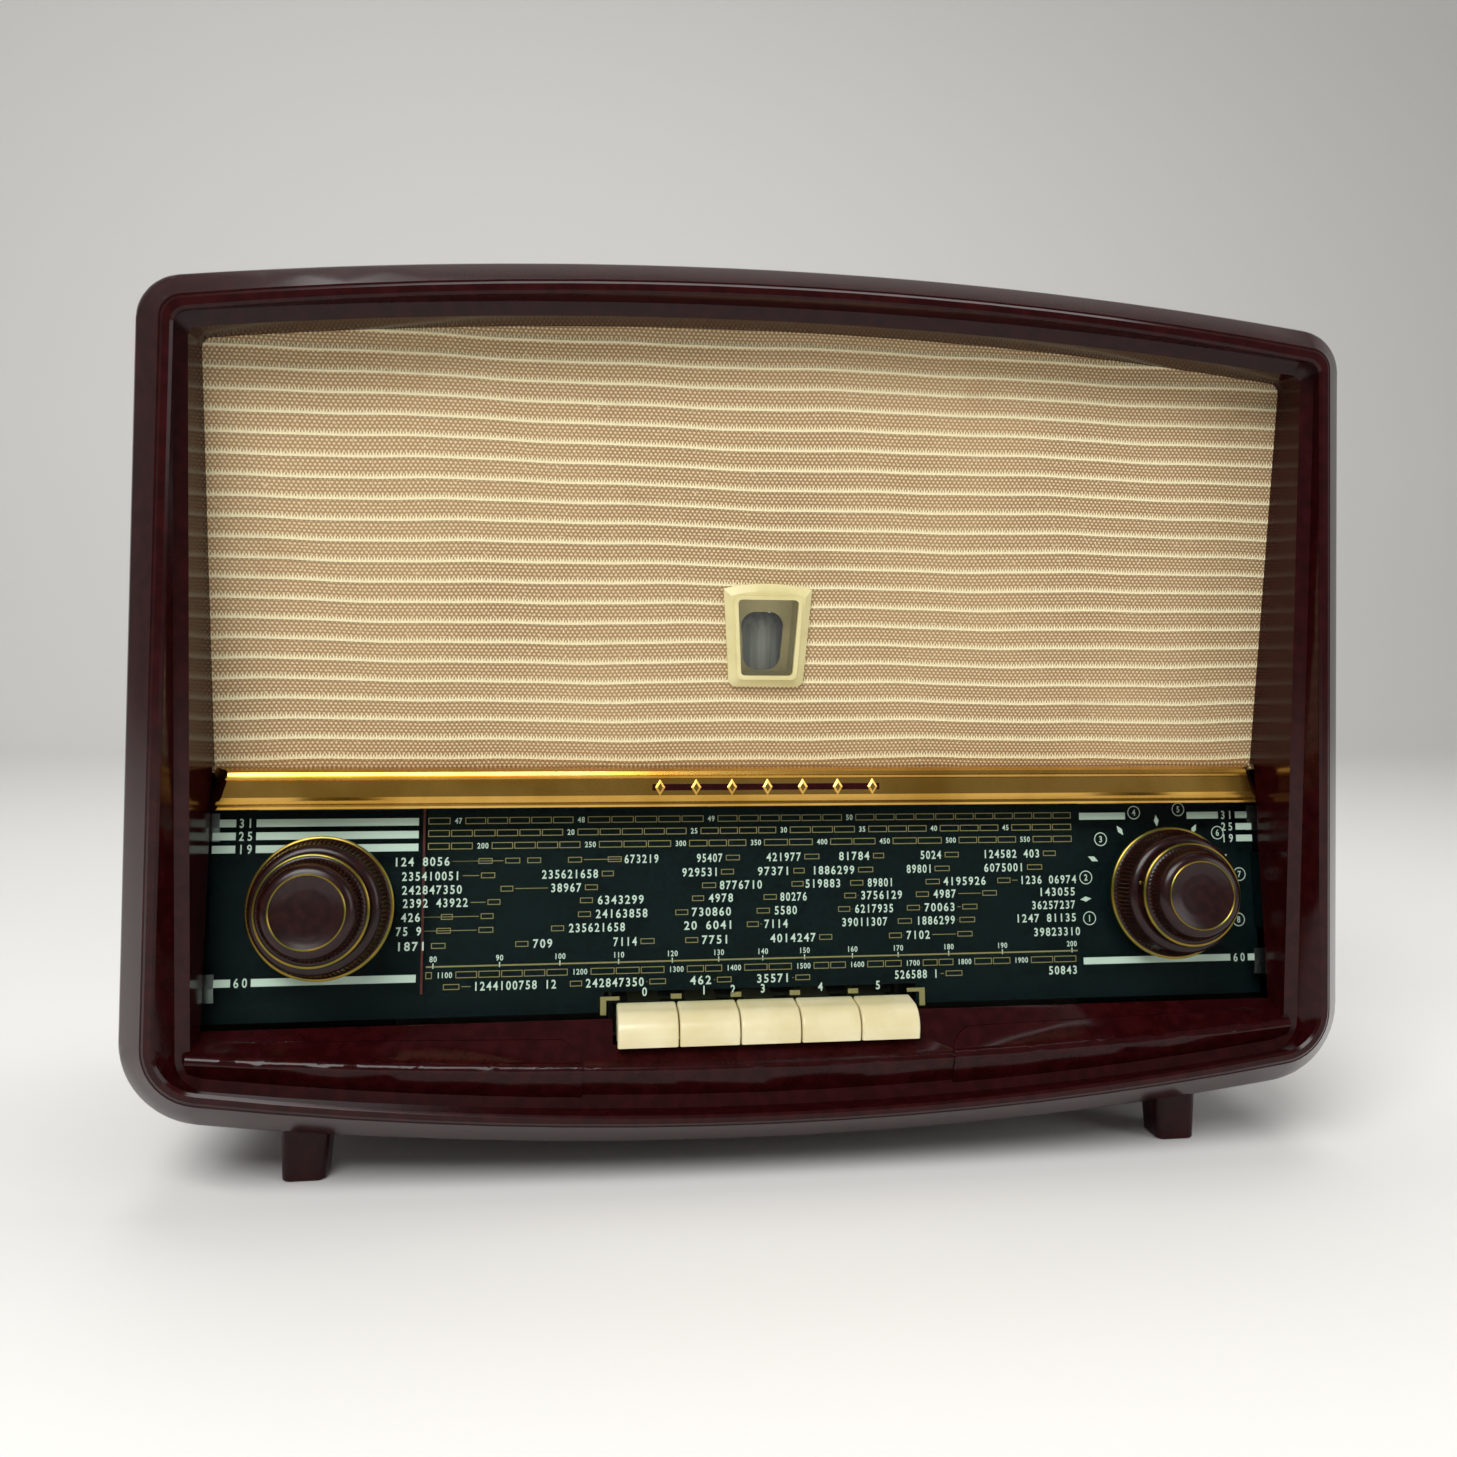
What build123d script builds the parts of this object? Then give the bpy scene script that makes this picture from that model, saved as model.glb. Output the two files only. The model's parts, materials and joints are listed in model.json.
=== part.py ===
"""Bakelite table radio: cabinet, sloped fascia, keys, concentric knobs, dial drive, chassis.

Frame: +X to the viewer's right, the front faces -Y, +Z up, z = 0 under the feet.
Depths are measured backwards from the crest plane of the front rim.
"""
from build123d import *
import os
from math import cos, radians, sin, tan

os.makedirs("parts", exist_ok=True)

# ---- driving dimensions, mm ----
FRONT_Y = -95.5          # the rim's crest plane
REAR_DEPTH = 182.0       # rear edge of the cabinet
WALL = 4.5               # moulded wall
CROWN_Z = 331.2          # top of the cabinet on the centre line
KEEL_Z = 14.3            # underside on the centre line
TOP_RADIUS = 1740.0      # large arc of the top
BOTTOM_RADIUS = 1500.0   # large arc of the underside
HALF_AT_TOP = 218.7      # half-width where side and top would meet
HALF_AT_BOTTOM = 226.3   # half-width where side and underside would meet
TOP_CORNER_Z = 317.4
BOTTOM_CORNER_Z = 31.4
FLARE_DEPTH = 13.3       # the flared front band ends here, at the widest outline
REAR_INSET = 4.0         # moulding draft towards the rear

RECESS_HALF = 200.7      # opening in the front
RECESS_CROWN_Z = 311.6
RECESS_KEEL_Z = 33.5
RECESS_SIDE_TOP_Z = 300.3
RECESS_SIDE_BOTTOM_Z = 47.5
LEDGE = 4.4              # ledge around the opening
LEDGE_DEPTH = 6.5
EDGE_DEPTH = 8.5
COLLAR = 3.5             # wall of the tunnel behind the opening

GLASS_TILT = 9.0         # degrees, the dial faces slightly up
GLASS_DEPTH = 26.3       # depth of the dial's face at KNOB_Z
KNOB_X = 160.6
KNOB_Z = 100.0
GLASS_THICK = 3.0
CLOTH_TILT = 5.23        # degrees, the cloth faces slightly down
CLOTH_DEPTH = 30.3       # depth of the cloth's face at CLOTH_MID_Z
CLOTH_MID_Z = 225.0
CLOTH_THICK = 0.8
BOARD_THICK = 5.0

KEY_COUNT = 5
KEY_PITCH = 22.37
KEY_WIDTH = 21.9
KEY_PIVOT_DEPTH = 58.0
KEY_PIVOT_Z = 55.0
POCKET_HALF = 57.2
POCKET_DEPTH = 12.6      # the slope of the sill runs on under the keys' fronts to here

CHASSIS_HALF = 140.0
CHASSIS_FRONT = 66.0
CHASSIS_REAR = 168.0
CHASSIS_TOP_Z = 90.0
CHASSIS_FOOT_Z = 40.0
SHEET = 1.2
REAR_PARTS_Z = 62.0      # height of the sockets, selector and inlet

SHAFT_R = 3.0
FIT = 0.05               # radial running clearance
TUBE_R = 4.5
POINTER_PULLEY_R = 6.9
IDLER_R = 8.0
IDLER_X = 140.0
IDLER_V = 40.0
DRUM_R = 34.0
GANG_X = 105.0
GANG_V = 36.0
POINTER_X = -126.2

tilt_sin = sin(radians(GLASS_TILT))
tilt_cos = cos(radians(GLASS_TILT))
lean_sin = sin(radians(CLOTH_TILT))
lean_cos = cos(radians(CLOTH_TILT))


def at(depth):
    """Row Y of a depth behind the rim's crest plane."""
    return FRONT_Y + depth


def front_plane(depth):
    """Plane facing the viewer at a depth; its local Y is up."""
    return Plane.XZ.offset(-at(depth))


def dial_plane(x=0.0, out=0.0):
    """Plane of the dial at x, moved out along its normal; local Y runs up the glass."""
    origin = (x, at(GLASS_DEPTH), KNOB_Z)
    return Plane(origin=origin, x_dir=(1, 0, 0), z_dir=(0, -tilt_cos, tilt_sin)).offset(out)


def dial_section(x, v=0.0):
    """Half-section plane through a shaft that stands on the dial: local X radial, local Y out."""
    origin = (x, at(GLASS_DEPTH) + v * tilt_sin, KNOB_Z + v * tilt_cos)
    return Plane(origin=origin, x_dir=(1, 0, 0), z_dir=(0, -tilt_sin, -tilt_cos))


def dial_axis(x, v=0.0):
    """Axis of a shaft that stands on the dial at x and v, pointing out of the radio."""
    origin = (x, at(GLASS_DEPTH) + v * tilt_sin, KNOB_Z + v * tilt_cos)
    return Axis(origin, (0, -tilt_cos, tilt_sin))


def cloth_plane(out=0.0):
    """Plane of the cloth at CLOTH_MID_Z, moved out along its normal; local Y is up."""
    origin = (0, at(CLOTH_DEPTH), CLOTH_MID_Z)
    return Plane(origin=origin, x_dir=(1, 0, 0), z_dir=(0, -lean_cos, -lean_sin)).offset(out)


def glass_depth(z):
    """Depth of the dial's face at a height."""
    return GLASS_DEPTH + (z - KNOB_Z) * tan(radians(GLASS_TILT))


def cloth_depth(z):
    """Depth of the cloth's face at a height."""
    return CLOTH_DEPTH - (z - CLOTH_MID_Z) * tan(radians(CLOTH_TILT))


def turned(points, x, v=0.0, mode=Mode.ADD):
    """Revolve a closed (radius, height) outline about a shaft axis of the dial."""
    with BuildSketch(dial_section(x, v)) as half:
        with BuildLine():
            Polyline(*points, close=True)
        make_face()
    revolve(half.sketch, axis=dial_axis(x, v), mode=mode)


def block(x0, x1, depth0, depth1, z0, z1, mode=Mode.ADD):
    """Box between two x, two depths and two heights."""
    centre = ((x0 + x1) / 2, at((depth0 + depth1) / 2), (z0 + z1) / 2)
    with Locations(centre):
        Box(x1 - x0, depth1 - depth0, z1 - z0, mode=mode)


def rod_y(x, z, radius, depth0, depth1, mode=Mode.ADD):
    """Cylinder along Y between two depths."""
    with BuildSketch(front_plane(depth1)) as disc:
        with Locations((x, z)):
            Circle(radius)
    extrude(disc.sketch, amount=depth1 - depth0, mode=mode)


def shell_outline(plane, side, top, bottom, top_r, bottom_r):
    """Cabinet outline inset by side, top and bottom: two large arcs, two leaning sides."""
    half_top = HALF_AT_TOP - side
    half_bottom = HALF_AT_BOTTOM - side
    with BuildSketch(plane) as shape:
        with BuildLine():
            ThreePointArc((-half_top, TOP_CORNER_Z - top), (0, CROWN_Z - top), (half_top, TOP_CORNER_Z - top))
            Line((half_top, TOP_CORNER_Z - top), (half_bottom, BOTTOM_CORNER_Z + bottom))
            ThreePointArc(
                (half_bottom, BOTTOM_CORNER_Z + bottom),
                (0, KEEL_Z + bottom),
                (-half_bottom, BOTTOM_CORNER_Z + bottom),
            )
            Line((-half_bottom, BOTTOM_CORNER_Z + bottom), (-half_top, TOP_CORNER_Z - top))
        make_face()
        fillet(shape.vertices().group_by(Axis.Y)[-1], top_r)
        fillet(shape.vertices().sort_by(Axis.Y)[0:2], bottom_r)
    return shape.sketch


def recess_outline(plane, grow, top_r, bottom_r):
    """Outline of the front opening, grown outwards."""
    half = RECESS_HALF + grow
    top = RECESS_SIDE_TOP_Z + grow
    bottom = RECESS_SIDE_BOTTOM_Z - grow
    with BuildSketch(plane) as shape:
        with BuildLine():
            ThreePointArc((-half, top), (0, RECESS_CROWN_Z + grow), (half, top))
            Line((half, top), (half, bottom))
            ThreePointArc((half, bottom), (0, RECESS_KEEL_Z - grow), (-half, bottom))
            Line((-half, bottom), (-half, top))
        make_face()
        fillet(shape.vertices().group_by(Axis.Y)[-1], top_r)
        fillet(shape.vertices().sort_by(Axis.Y)[0:2], bottom_r)
    return shape.sketch


# ---- cabinet ----
FLARE_SIDE = 11.3
FLARE_TOP = 9.0
FLARE_BOTTOM = 10.2
BEAD_STEP = 0.8          # ledge between the flare and the bead
BEAD_WIDE = 4.0
BEAD_HIGH = 1.4
BEAD_SHOULDER = 0.6      # the bead's sides end here, its crest slopes from here
BEAD_SOFT = 0.9          # width of each sloping side of the crest
CAVITY_DEPTH = 17.0
GAP = 0.1                # between the tunnel's end and what it clamps

with BuildPart() as collar:
    extrude(recess_outline(front_plane(48.0), COLLAR, 7.0, 11.0), amount=40.5)
    with BuildSketch(Plane.YZ.offset(-220)):
        with BuildLine():
            Polyline(
                (at(5), 20),
                (at(5), 325),
                (at(cloth_depth(325) - GAP), 325),
                (at(cloth_depth(150) - GAP), 150),
                (at(glass_depth(150) - GAP), 150),
                (at(glass_depth(20) - GAP), 20),
                close=True,
            )
        make_face()
    extrude(amount=440, mode=Mode.INTERSECT)


def sill_edge(x):
    """Height of the sill's foot line at x."""
    return RECESS_KEEL_Z + 14.0 * (x / RECESS_HALF) ** 2


def sill_crest(x):
    """Height of the sill's crest at x."""
    return 43.8 + 9.0 * (x / RECESS_HALF) ** 2


SILL_TOP_Z = 58.6


def sill_section(x, proud):
    """Cross-section of the sill at x: leaning face, rounded crest and slope up to the glass."""
    foot = sill_edge(x)
    crest = sill_crest(x)
    with BuildSketch(Plane.YZ.offset(x)) as section:
        with BuildLine():
            Polyline((at(15.4), foot - 2.0), (at(9.4 - proud), foot - 2.0), (at(8.3 - proud), foot))
            Line((at(8.3 - proud), foot), (at(5.6 - proud), crest - 1.2))
            ThreePointArc(
                (at(5.6 - proud), crest - 1.2),
                (at(6.0 - proud), crest + 0.3 + proud / 2),
                (at(7.4), crest + 1.2 + proud),
            )
            Line((at(7.4), crest + 1.2 + proud), (at(glass_depth(SILL_TOP_Z) - GAP), SILL_TOP_Z + proud))
            Line((at(glass_depth(SILL_TOP_Z) - GAP), SILL_TOP_Z + proud), (at(15.4), foot - 2.0))
        make_face()
    return section.sketch


with BuildPart() as sill:
    loft([sill_section(x, 0.0) for x in (-201.5, -100, 0, 100, 201.5)])

PAD_X = 68.3             # the raised end panels of the sill start here
PAD_TOP_X = 76.0
PAD_PROUD = 0.9

with BuildPart() as pad:
    loft([sill_section(x, PAD_PROUD) for x in (60, 130, 201.5)])
    with BuildSketch(front_plane(30)):
        with BuildLine():
            Polyline((205, 62), (205, 30), (PAD_X, 30), (PAD_X, 46.0))
            Spline((PAD_X, 46.0), (70.2, 49.8), (PAD_TOP_X, 53.3), tangents=((0, 1), (1, 0.25)))
            Line((PAD_TOP_X, 53.3), (205, 56.6))
            Line((205, 56.6), (205, 62))
        make_face()
    extrude(amount=40, mode=Mode.INTERSECT)

# fastenings shared by several parts
FASCIA_SCREWS = [(208.5, 72.0), (208.5, 128.0), (208.5, 176.0), (208.3, 288.0)]
COVER_SCREWS = [(209.0, 75.0), (204.5, 285.0)]
CHASSIS_BOLTS = [(x, depth) for x in (-125, 125) for depth in (82, 152)]
FOOT_SCREWS = [(x, depth) for x in (-167, 167) for depth in (36, 161)]
PILLAR_Z = 24.0
BOSS_R = 4.5
BOLT_HOLE_R = 2.75
COVER_DEPTH = 178.0
M3 = 1.5
M5 = 2.5


def floor_z(x, depth):
    """Height of the cabinet's outer underside."""
    draft = REAR_INSET * (depth - FLARE_DEPTH) / (REAR_DEPTH - FLARE_DEPTH)
    return KEEL_Z + x * x / (2 * BOTTOM_RADIUS) + draft


def boss_depth(z):
    """Where a fascia boss ends: behind the glass low down, in front of the board higher up."""
    low = glass_depth(z) + GLASS_THICK / tilt_cos
    high = cloth_depth(z + BOSS_R) + CLOTH_THICK / lean_cos
    return low if z < 150 else high


with BuildPart() as cabinet:
    widest = shell_outline(front_plane(FLARE_DEPTH), 0, 0, 0, 16, 30)
    rear = shell_outline(front_plane(REAR_DEPTH), REAR_INSET, REAR_INSET, REAR_INSET, 14, 28)
    loft([widest, rear], ruled=True)
    brow = shell_outline(front_plane(0), FLARE_SIDE, FLARE_TOP, FLARE_BOTTOM, 8, 20)
    loft([brow, widest], ruled=True)
    step = [FLARE_SIDE + BEAD_STEP, FLARE_TOP + BEAD_STEP, FLARE_BOTTOM + BEAD_STEP]
    extrude(shell_outline(front_plane(0), *step, 7.4, 19.4), amount=BEAD_SHOULDER)
    bead_turn = shell_outline(front_plane(-BEAD_SHOULDER), *step, 7.4, 19.4)
    bead_crest = shell_outline(front_plane(-BEAD_HIGH), *[inset + BEAD_SOFT for inset in step], 6.5, 18.5)
    loft([bead_turn, bead_crest], ruled=True)
    # cavity, open at the rear
    front_cavity = shell_outline(front_plane(CAVITY_DEPTH), WALL, WALL, WALL, 11.5, 25.5)
    rear_wall = WALL + REAR_INSET
    rear_cavity = shell_outline(front_plane(REAR_DEPTH + 1), rear_wall, rear_wall, rear_wall, 9.5, 23.5)
    loft([front_cavity, rear_cavity], ruled=True, mode=Mode.SUBTRACT)
    add(collar.part)
    # cove inside the bead, ledge, and the drafted tunnel
    inner = [step[0] + BEAD_WIDE, step[1] + BEAD_WIDE, step[2] + BEAD_WIDE - 0.4]
    cove_mouth = shell_outline(front_plane(-BEAD_HIGH), *[inset - BEAD_SOFT for inset in inner], 5.9, 16.4)
    cove = shell_outline(front_plane(-BEAD_SHOULDER), *inner, 5, 15.5)
    ledge = recess_outline(front_plane(LEDGE_DEPTH), LEDGE, 6.0, 12.0)
    mouth = recess_outline(front_plane(EDGE_DEPTH), 0.0, 4.0, 8.0)
    throat = recess_outline(front_plane(50), -1.2, 3.5, 7.0)
    loft([cove_mouth, cove], ruled=True, mode=Mode.SUBTRACT)
    loft([cove, ledge], ruled=True, mode=Mode.SUBTRACT)
    loft([ledge, mouth], ruled=True, mode=Mode.SUBTRACT)
    loft([mouth, throat], ruled=True, mode=Mode.SUBTRACT)
    add(sill.part)
    add(pad.part)
    add(pad.part.mirror(Plane.YZ))
    # pocket and slot for the keys
    block(-POCKET_HALF, POCKET_HALF, POCKET_DEPTH, 40, 44.6, 75, mode=Mode.SUBTRACT)
    block(-POCKET_HALF, POCKET_HALF, 4, 40, 51.2, 75, mode=Mode.SUBTRACT)

    # bosses for the fascia screws and the rear cover, pillars for the chassis
    for side in (-1, 1):
        for x, z in FASCIA_SCREWS:
            rod_y(side * x, z, BOSS_R, 12, boss_depth(z))
            rod_y(side * x, z, M3, boss_depth(z) - 10, boss_depth(z), mode=Mode.SUBTRACT)
        for x, z in COVER_SCREWS:
            near, far = sorted((side * (x - 7), side * (x + 9)))
            block(near, far, 150, COVER_DEPTH, z - 7, z + 7)
            rod_y(side * x, z, M3, COVER_DEPTH - 10, COVER_DEPTH, mode=Mode.SUBTRACT)
    for x, depth in CHASSIS_BOLTS:
        with BuildSketch(Plane.XY.offset(PILLAR_Z)) as pillar:
            with Locations((x, at(depth))):
                Circle(8)
        extrude(pillar.sketch, amount=CHASSIS_FOOT_Z - PILLAR_Z)
        with BuildSketch(Plane.XY.offset(KEEL_Z)) as bore:
            with Locations((x, at(depth))):
                Circle(BOLT_HOLE_R)
        extrude(bore.sketch, amount=CHASSIS_FOOT_Z - KEEL_Z, mode=Mode.SUBTRACT)
    for x, depth in FOOT_SCREWS:
        with BuildSketch(Plane.XY.offset(KEEL_Z)) as bore:
            with Locations((x, at(depth))):
                Circle(BOLT_HOLE_R)
        extrude(bore.sketch, amount=20, mode=Mode.SUBTRACT)
    # soften the flare's outer turn
    turn = cabinet.edges().filter_by_position(Axis.Y, at(FLARE_DEPTH) - 0.01, at(FLARE_DEPTH) + 0.01)
    fillet(turn.filter_by(lambda e: abs(e.center().Z - 170) > 150 or abs(e.center().X) > 215), 5.0)

cabinet.part.label = "cabinet"
export_step(cabinet.part, "parts/cabinet.step")


def screw_y(x, z, head_depth, length, head_r=3.0, head_high=1.8, shank_r=1.5):
    """Round-headed screw along Y: its head stands behind head_depth, its shank points to the front."""
    rod_y(x, z, head_r, head_depth, head_depth + head_high)
    rod_y(x, z, shank_r, head_depth - length, head_depth)
    slot = head_depth + head_high - 0.7
    block(x - head_r, x + head_r, slot, slot + 1.7, z - 0.35, z + 0.35, mode=Mode.SUBTRACT)


# ---- feet: four tapered posts, moulded to the curve of the underside ----
FOOT_TOP = 18.8
FOOT_BOTTOM = 15.5
FOOT_OUTER_X = 176.0
FOOT_FRONT = 27.5
FOOT_REAR = 152.0

with BuildPart() as underside:
    below = shell_outline(front_plane(FLARE_DEPTH), 0, 0, 0, 16, 30)
    below_rear = shell_outline(front_plane(REAR_DEPTH), REAR_INSET, REAR_INSET, REAR_INSET, 14, 28)
    loft([below, below_rear], ruled=True)

with BuildPart() as feet:
    for side in (-1, 1):
        for depth in (FOOT_FRONT, FOOT_REAR):
            with BuildSketch(Plane.XY) as sole:
                sole_x = FOOT_OUTER_X - 0.6 - FOOT_BOTTOM / 2
                with Locations((side * sole_x, at(depth + 0.5 + FOOT_BOTTOM / 2))):
                    RectangleRounded(FOOT_BOTTOM, FOOT_BOTTOM, 3.2)
            with BuildSketch(Plane.XY.offset(34)) as head:
                with Locations((side * (FOOT_OUTER_X - FOOT_TOP / 2), at(depth + FOOT_TOP / 2))):
                    RectangleRounded(FOOT_TOP, FOOT_TOP, 3.8)
            loft([sole.sketch, head.sketch], ruled=True)
    fillet(feet.edges().group_by(Axis.Z)[0], 1.0)
    add(underside.part, mode=Mode.SUBTRACT)
    for x, depth in FOOT_SCREWS:
        with BuildSketch(Plane.XY.offset(12)) as bore:
            with Locations((x, at(depth))):
                Circle(1.9)
        extrude(bore.sketch, amount=20, mode=Mode.SUBTRACT)
feet.part.label = "feet"
export_step(feet.part, "parts/feet.step")

# ---- base screws: four into the feet from inside, four up into the chassis ----
with BuildPart() as base_screws:
    for x, depth in FOOT_SCREWS:
        top = floor_z(x, depth) + WALL + 1.3
        with Locations((x, at(depth), top + 1.2)):
            Cylinder(4.2, 2.4)
        with Locations((x, at(depth), (top + 12) / 2)):
            Cylinder(1.9, top - 12)
    for x, depth in CHASSIS_BOLTS:
        seat = floor_z(x, depth) - 0.8
        with Locations((x, at(depth), seat - 1.5)):
            Cylinder(5.0, 3.0)
        with Locations((x, at(depth), (seat + CHASSIS_FOOT_Z + 6) / 2)):
            Cylinder(M5, CHASSIS_FOOT_Z + 6 - seat)
        with Locations((x, at(depth), CHASSIS_FOOT_Z + SHEET + 2.0)):
            Cylinder(4.5, 4.0)
base_screws.part.label = "base_screws"
export_step(base_screws.part, "parts/base_screws.step")

# ---- baffle board with the speaker hole and the slot for the tuning eye ----
SPEAKER_X = -98.0
SPEAKER_V = 8.0
SPEAKER_HOLE_R = 62.0
EYE_Z = 199.5
EYE_SLOT = (27.2, 33.8)
BOARD_BOTTOM_Z = 147.2
eye_v = (EYE_Z - CLOTH_MID_Z) / lean_cos
board_bottom_v = (BOARD_BOTTOM_Z - CLOTH_MID_Z) / lean_cos


def board_outline(plane, half, side_z, crown_z):
    """Flat panel behind the opening: straight foot and sides, arched top."""
    side_v = (side_z - CLOTH_MID_Z) / lean_cos
    crown_v = (crown_z - CLOTH_MID_Z) / lean_cos
    with BuildSketch(plane) as shape:
        with BuildLine():
            Polyline((-half, side_v), (-half, board_bottom_v), (half, board_bottom_v), (half, side_v))
            ThreePointArc((half, side_v), (0, crown_v), (-half, side_v))
        make_face()
    return shape.sketch


with BuildPart() as baffle_board:
    extrude(board_outline(cloth_plane(-CLOTH_THICK - 0.2), 212.0, 302.5, 316.0), amount=-BOARD_THICK)
    with BuildSketch(cloth_plane(0)) as holes:
        with Locations((SPEAKER_X, SPEAKER_V)):
            Circle(SPEAKER_HOLE_R)
        with Locations((0, eye_v)):
            Rectangle(*EYE_SLOT)
    extrude(holes.sketch, amount=-12, mode=Mode.SUBTRACT)
    for side in (-1, 1):
        for x, z in FASCIA_SCREWS[2:]:
            rod_y(side * x, z, 1.7, 15, 50, mode=Mode.SUBTRACT)
baffle_board.part.label = "baffle_board"
export_step(baffle_board.part, "parts/baffle_board.step")

# ---- speaker cloth, stretched over the board ----
with BuildPart() as speaker_cloth:
    extrude(board_outline(cloth_plane(0), 203.6, 303.4, 314.8), amount=-CLOTH_THICK)
    with BuildSketch(cloth_plane(1)) as hole:
        with Locations((0, eye_v)):
            Rectangle(*EYE_SLOT)
    extrude(hole.sketch, amount=-4, mode=Mode.SUBTRACT)
speaker_cloth.part.label = "speaker_cloth"
export_step(speaker_cloth.part, "parts/speaker_cloth.step")

# ---- dial glass, notched for the keys and drilled for the knobs ----
GLASS_LOW_V = -44.5
GLASS_HIGH_V = 45.6
KEY_NOTCH_V = -36.4

with BuildPart() as dial_glass:
    with BuildSketch(dial_plane()) as pane:
        with Locations((0, (GLASS_LOW_V + GLASS_HIGH_V) / 2)):
            Rectangle(407, GLASS_HIGH_V - GLASS_LOW_V)
        with Locations((0, (GLASS_LOW_V + KEY_NOTCH_V) / 2 - 1)):
            Rectangle(2 * POCKET_HALF, KEY_NOTCH_V - GLASS_LOW_V + 2, mode=Mode.SUBTRACT)
        with Locations((-KNOB_X, 0), (KNOB_X, 0)):
            Circle(6.0, mode=Mode.SUBTRACT)
    extrude(pane.sketch, amount=-GLASS_THICK)
dial_glass.part.label = "dial_glass"
export_step(dial_glass.part, "parts/dial_glass.step")

# ---- clips and screws that hold glass and board to the cabinet's bosses ----
CLIP_THICK = 1.0

with BuildPart() as glass_clips:
    for side in (-1, 1):
        for x, z in FASCIA_SCREWS[:2]:
            depth = boss_depth(z)
            near, far = sorted((side * 197.5, side * (x + 4)))
            block(near, far, depth, depth + CLIP_THICK, z - 5, z + 5)
            rod_y(side * x, z, 1.7, depth - 1, depth + 3, mode=Mode.SUBTRACT)
    with BuildSketch(dial_plane(0, 20)) as slab:
        Rectangle(440, 200)
    extrude(slab.sketch, amount=-20 - GLASS_THICK, mode=Mode.SUBTRACT)
glass_clips.part.label = "glass_clips"
export_step(glass_clips.part, "parts/glass_clips.step")

with BuildPart() as fascia_screws:
    for side in (-1, 1):
        for x, z in FASCIA_SCREWS[:2]:
            screw_y(side * x, z, boss_depth(z) + CLIP_THICK, 9)
        for x, z in FASCIA_SCREWS[2:]:
            screw_y(side * x, z, cloth_depth(z) + (CLOTH_THICK + 0.2 + BOARD_THICK) / lean_cos + 0.35, 14)
fascia_screws.part.label = "fascia_screws"
export_step(fascia_screws.part, "parts/fascia_screws.step")

# ---- gold trim bar in the valley between cloth and dial ----
BAR_HALF = 199.7
BAR_LOW_Z = 135.5
GLASS_TOP_Z = 145.9

with BuildPart() as trim_bar:
    with BuildSketch(Plane.YZ.offset(-BAR_HALF)) as profile:
        with BuildLine():
            Polyline(
                (at(glass_depth(BAR_LOW_Z) - GAP), BAR_LOW_Z),
                (at(26.2), 135.3),
                (at(25.4), 135.6),
                (at(25.3), 136.4),
                (at(25.8), 137.0),
                (at(27.4), 137.1),
                (at(27.4), 138.3),
                (at(25.9), 138.5),
                (at(25.4), 139.8),
                (at(26.4), 145.7),
                (at(27.8), 145.9),
                (at(27.8), 146.7),
                (at(27.5), 147.2),
                (at(28.1), 148.4),
                (at(29.8), 149.2),
                (at(37.0), 149.5),
                (at(36.9), GLASS_TOP_Z),
                (at(glass_depth(GLASS_TOP_Z) - GAP), GLASS_TOP_Z),
                close=True,
            )
        make_face()
    extrude(profile.sketch, amount=2 * BAR_HALF)
    # mitred returns at both ends
    for side in (-1, 1):
        mitre = Plane(origin=(side * 193.2, at(26.2), 144.9), z_dir=(side * 0.765, -0.561, 0.318))
        with BuildSketch(mitre) as cut:
            Rectangle(80, 80)
        extrude(cut.sketch, amount=30, mode=Mode.SUBTRACT)
trim_bar.part.label = "trim_bar"
export_step(trim_bar.part, "parts/trim_bar.step")

# ---- tuning eye: keystone bezel with a tunnel, clear window, tube and socket ----
EYE_TOP_HALF = 16.8
EYE_BOTTOM_HALF = 14.1
EYE_HIGH = 39.0
EYE_TAPER = 0.9
EYE_DROP = 0.7


def keystone(plane, inset, radius):
    """Eye outline, wider at its arched top, with rounded lower corners."""
    top = EYE_HIGH / 2 - inset
    bottom = -EYE_HIGH / 2 + inset
    with BuildSketch(plane) as shape:
        with BuildLine():
            ThreePointArc((-EYE_TOP_HALF + inset, top - 2.0), (0, top), (EYE_TOP_HALF - inset, top - 2.0))
            Polyline(
                (EYE_TOP_HALF - inset, top - 2.0),
                (EYE_BOTTOM_HALF - inset, bottom),
                (-EYE_BOTTOM_HALF + inset, bottom),
                (-EYE_TOP_HALF + inset, top - 2.0),
            )
        make_face()
        fillet(shape.vertices().sort_by(Axis.Y)[0:2], radius)
    return shape.sketch


def eye_plane(out):
    """Plane at the middle of the eye, parallel to the cloth."""
    origin = (0, at(cloth_depth(EYE_Z)), EYE_Z)
    return Plane(origin=origin, x_dir=(1, 0, 0), z_dir=(0, -lean_cos, -lean_sin)).offset(out)


def eye_window_shape(plane, wide, high, radius, drop=EYE_DROP):
    """Rounded shape a little below the middle of the eye, wider at its top."""
    upper = wide / 2 + EYE_TAPER
    lower = wide / 2 - EYE_TAPER
    top = high / 2 - drop
    bottom = -high / 2 - drop
    with BuildSketch(plane) as shape:
        with BuildLine():
            Polyline((-upper, top), (upper, top), (lower, bottom), (-lower, bottom), close=True)
        make_face()
        fillet(shape.vertices(), radius)
    return shape.sketch


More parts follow.
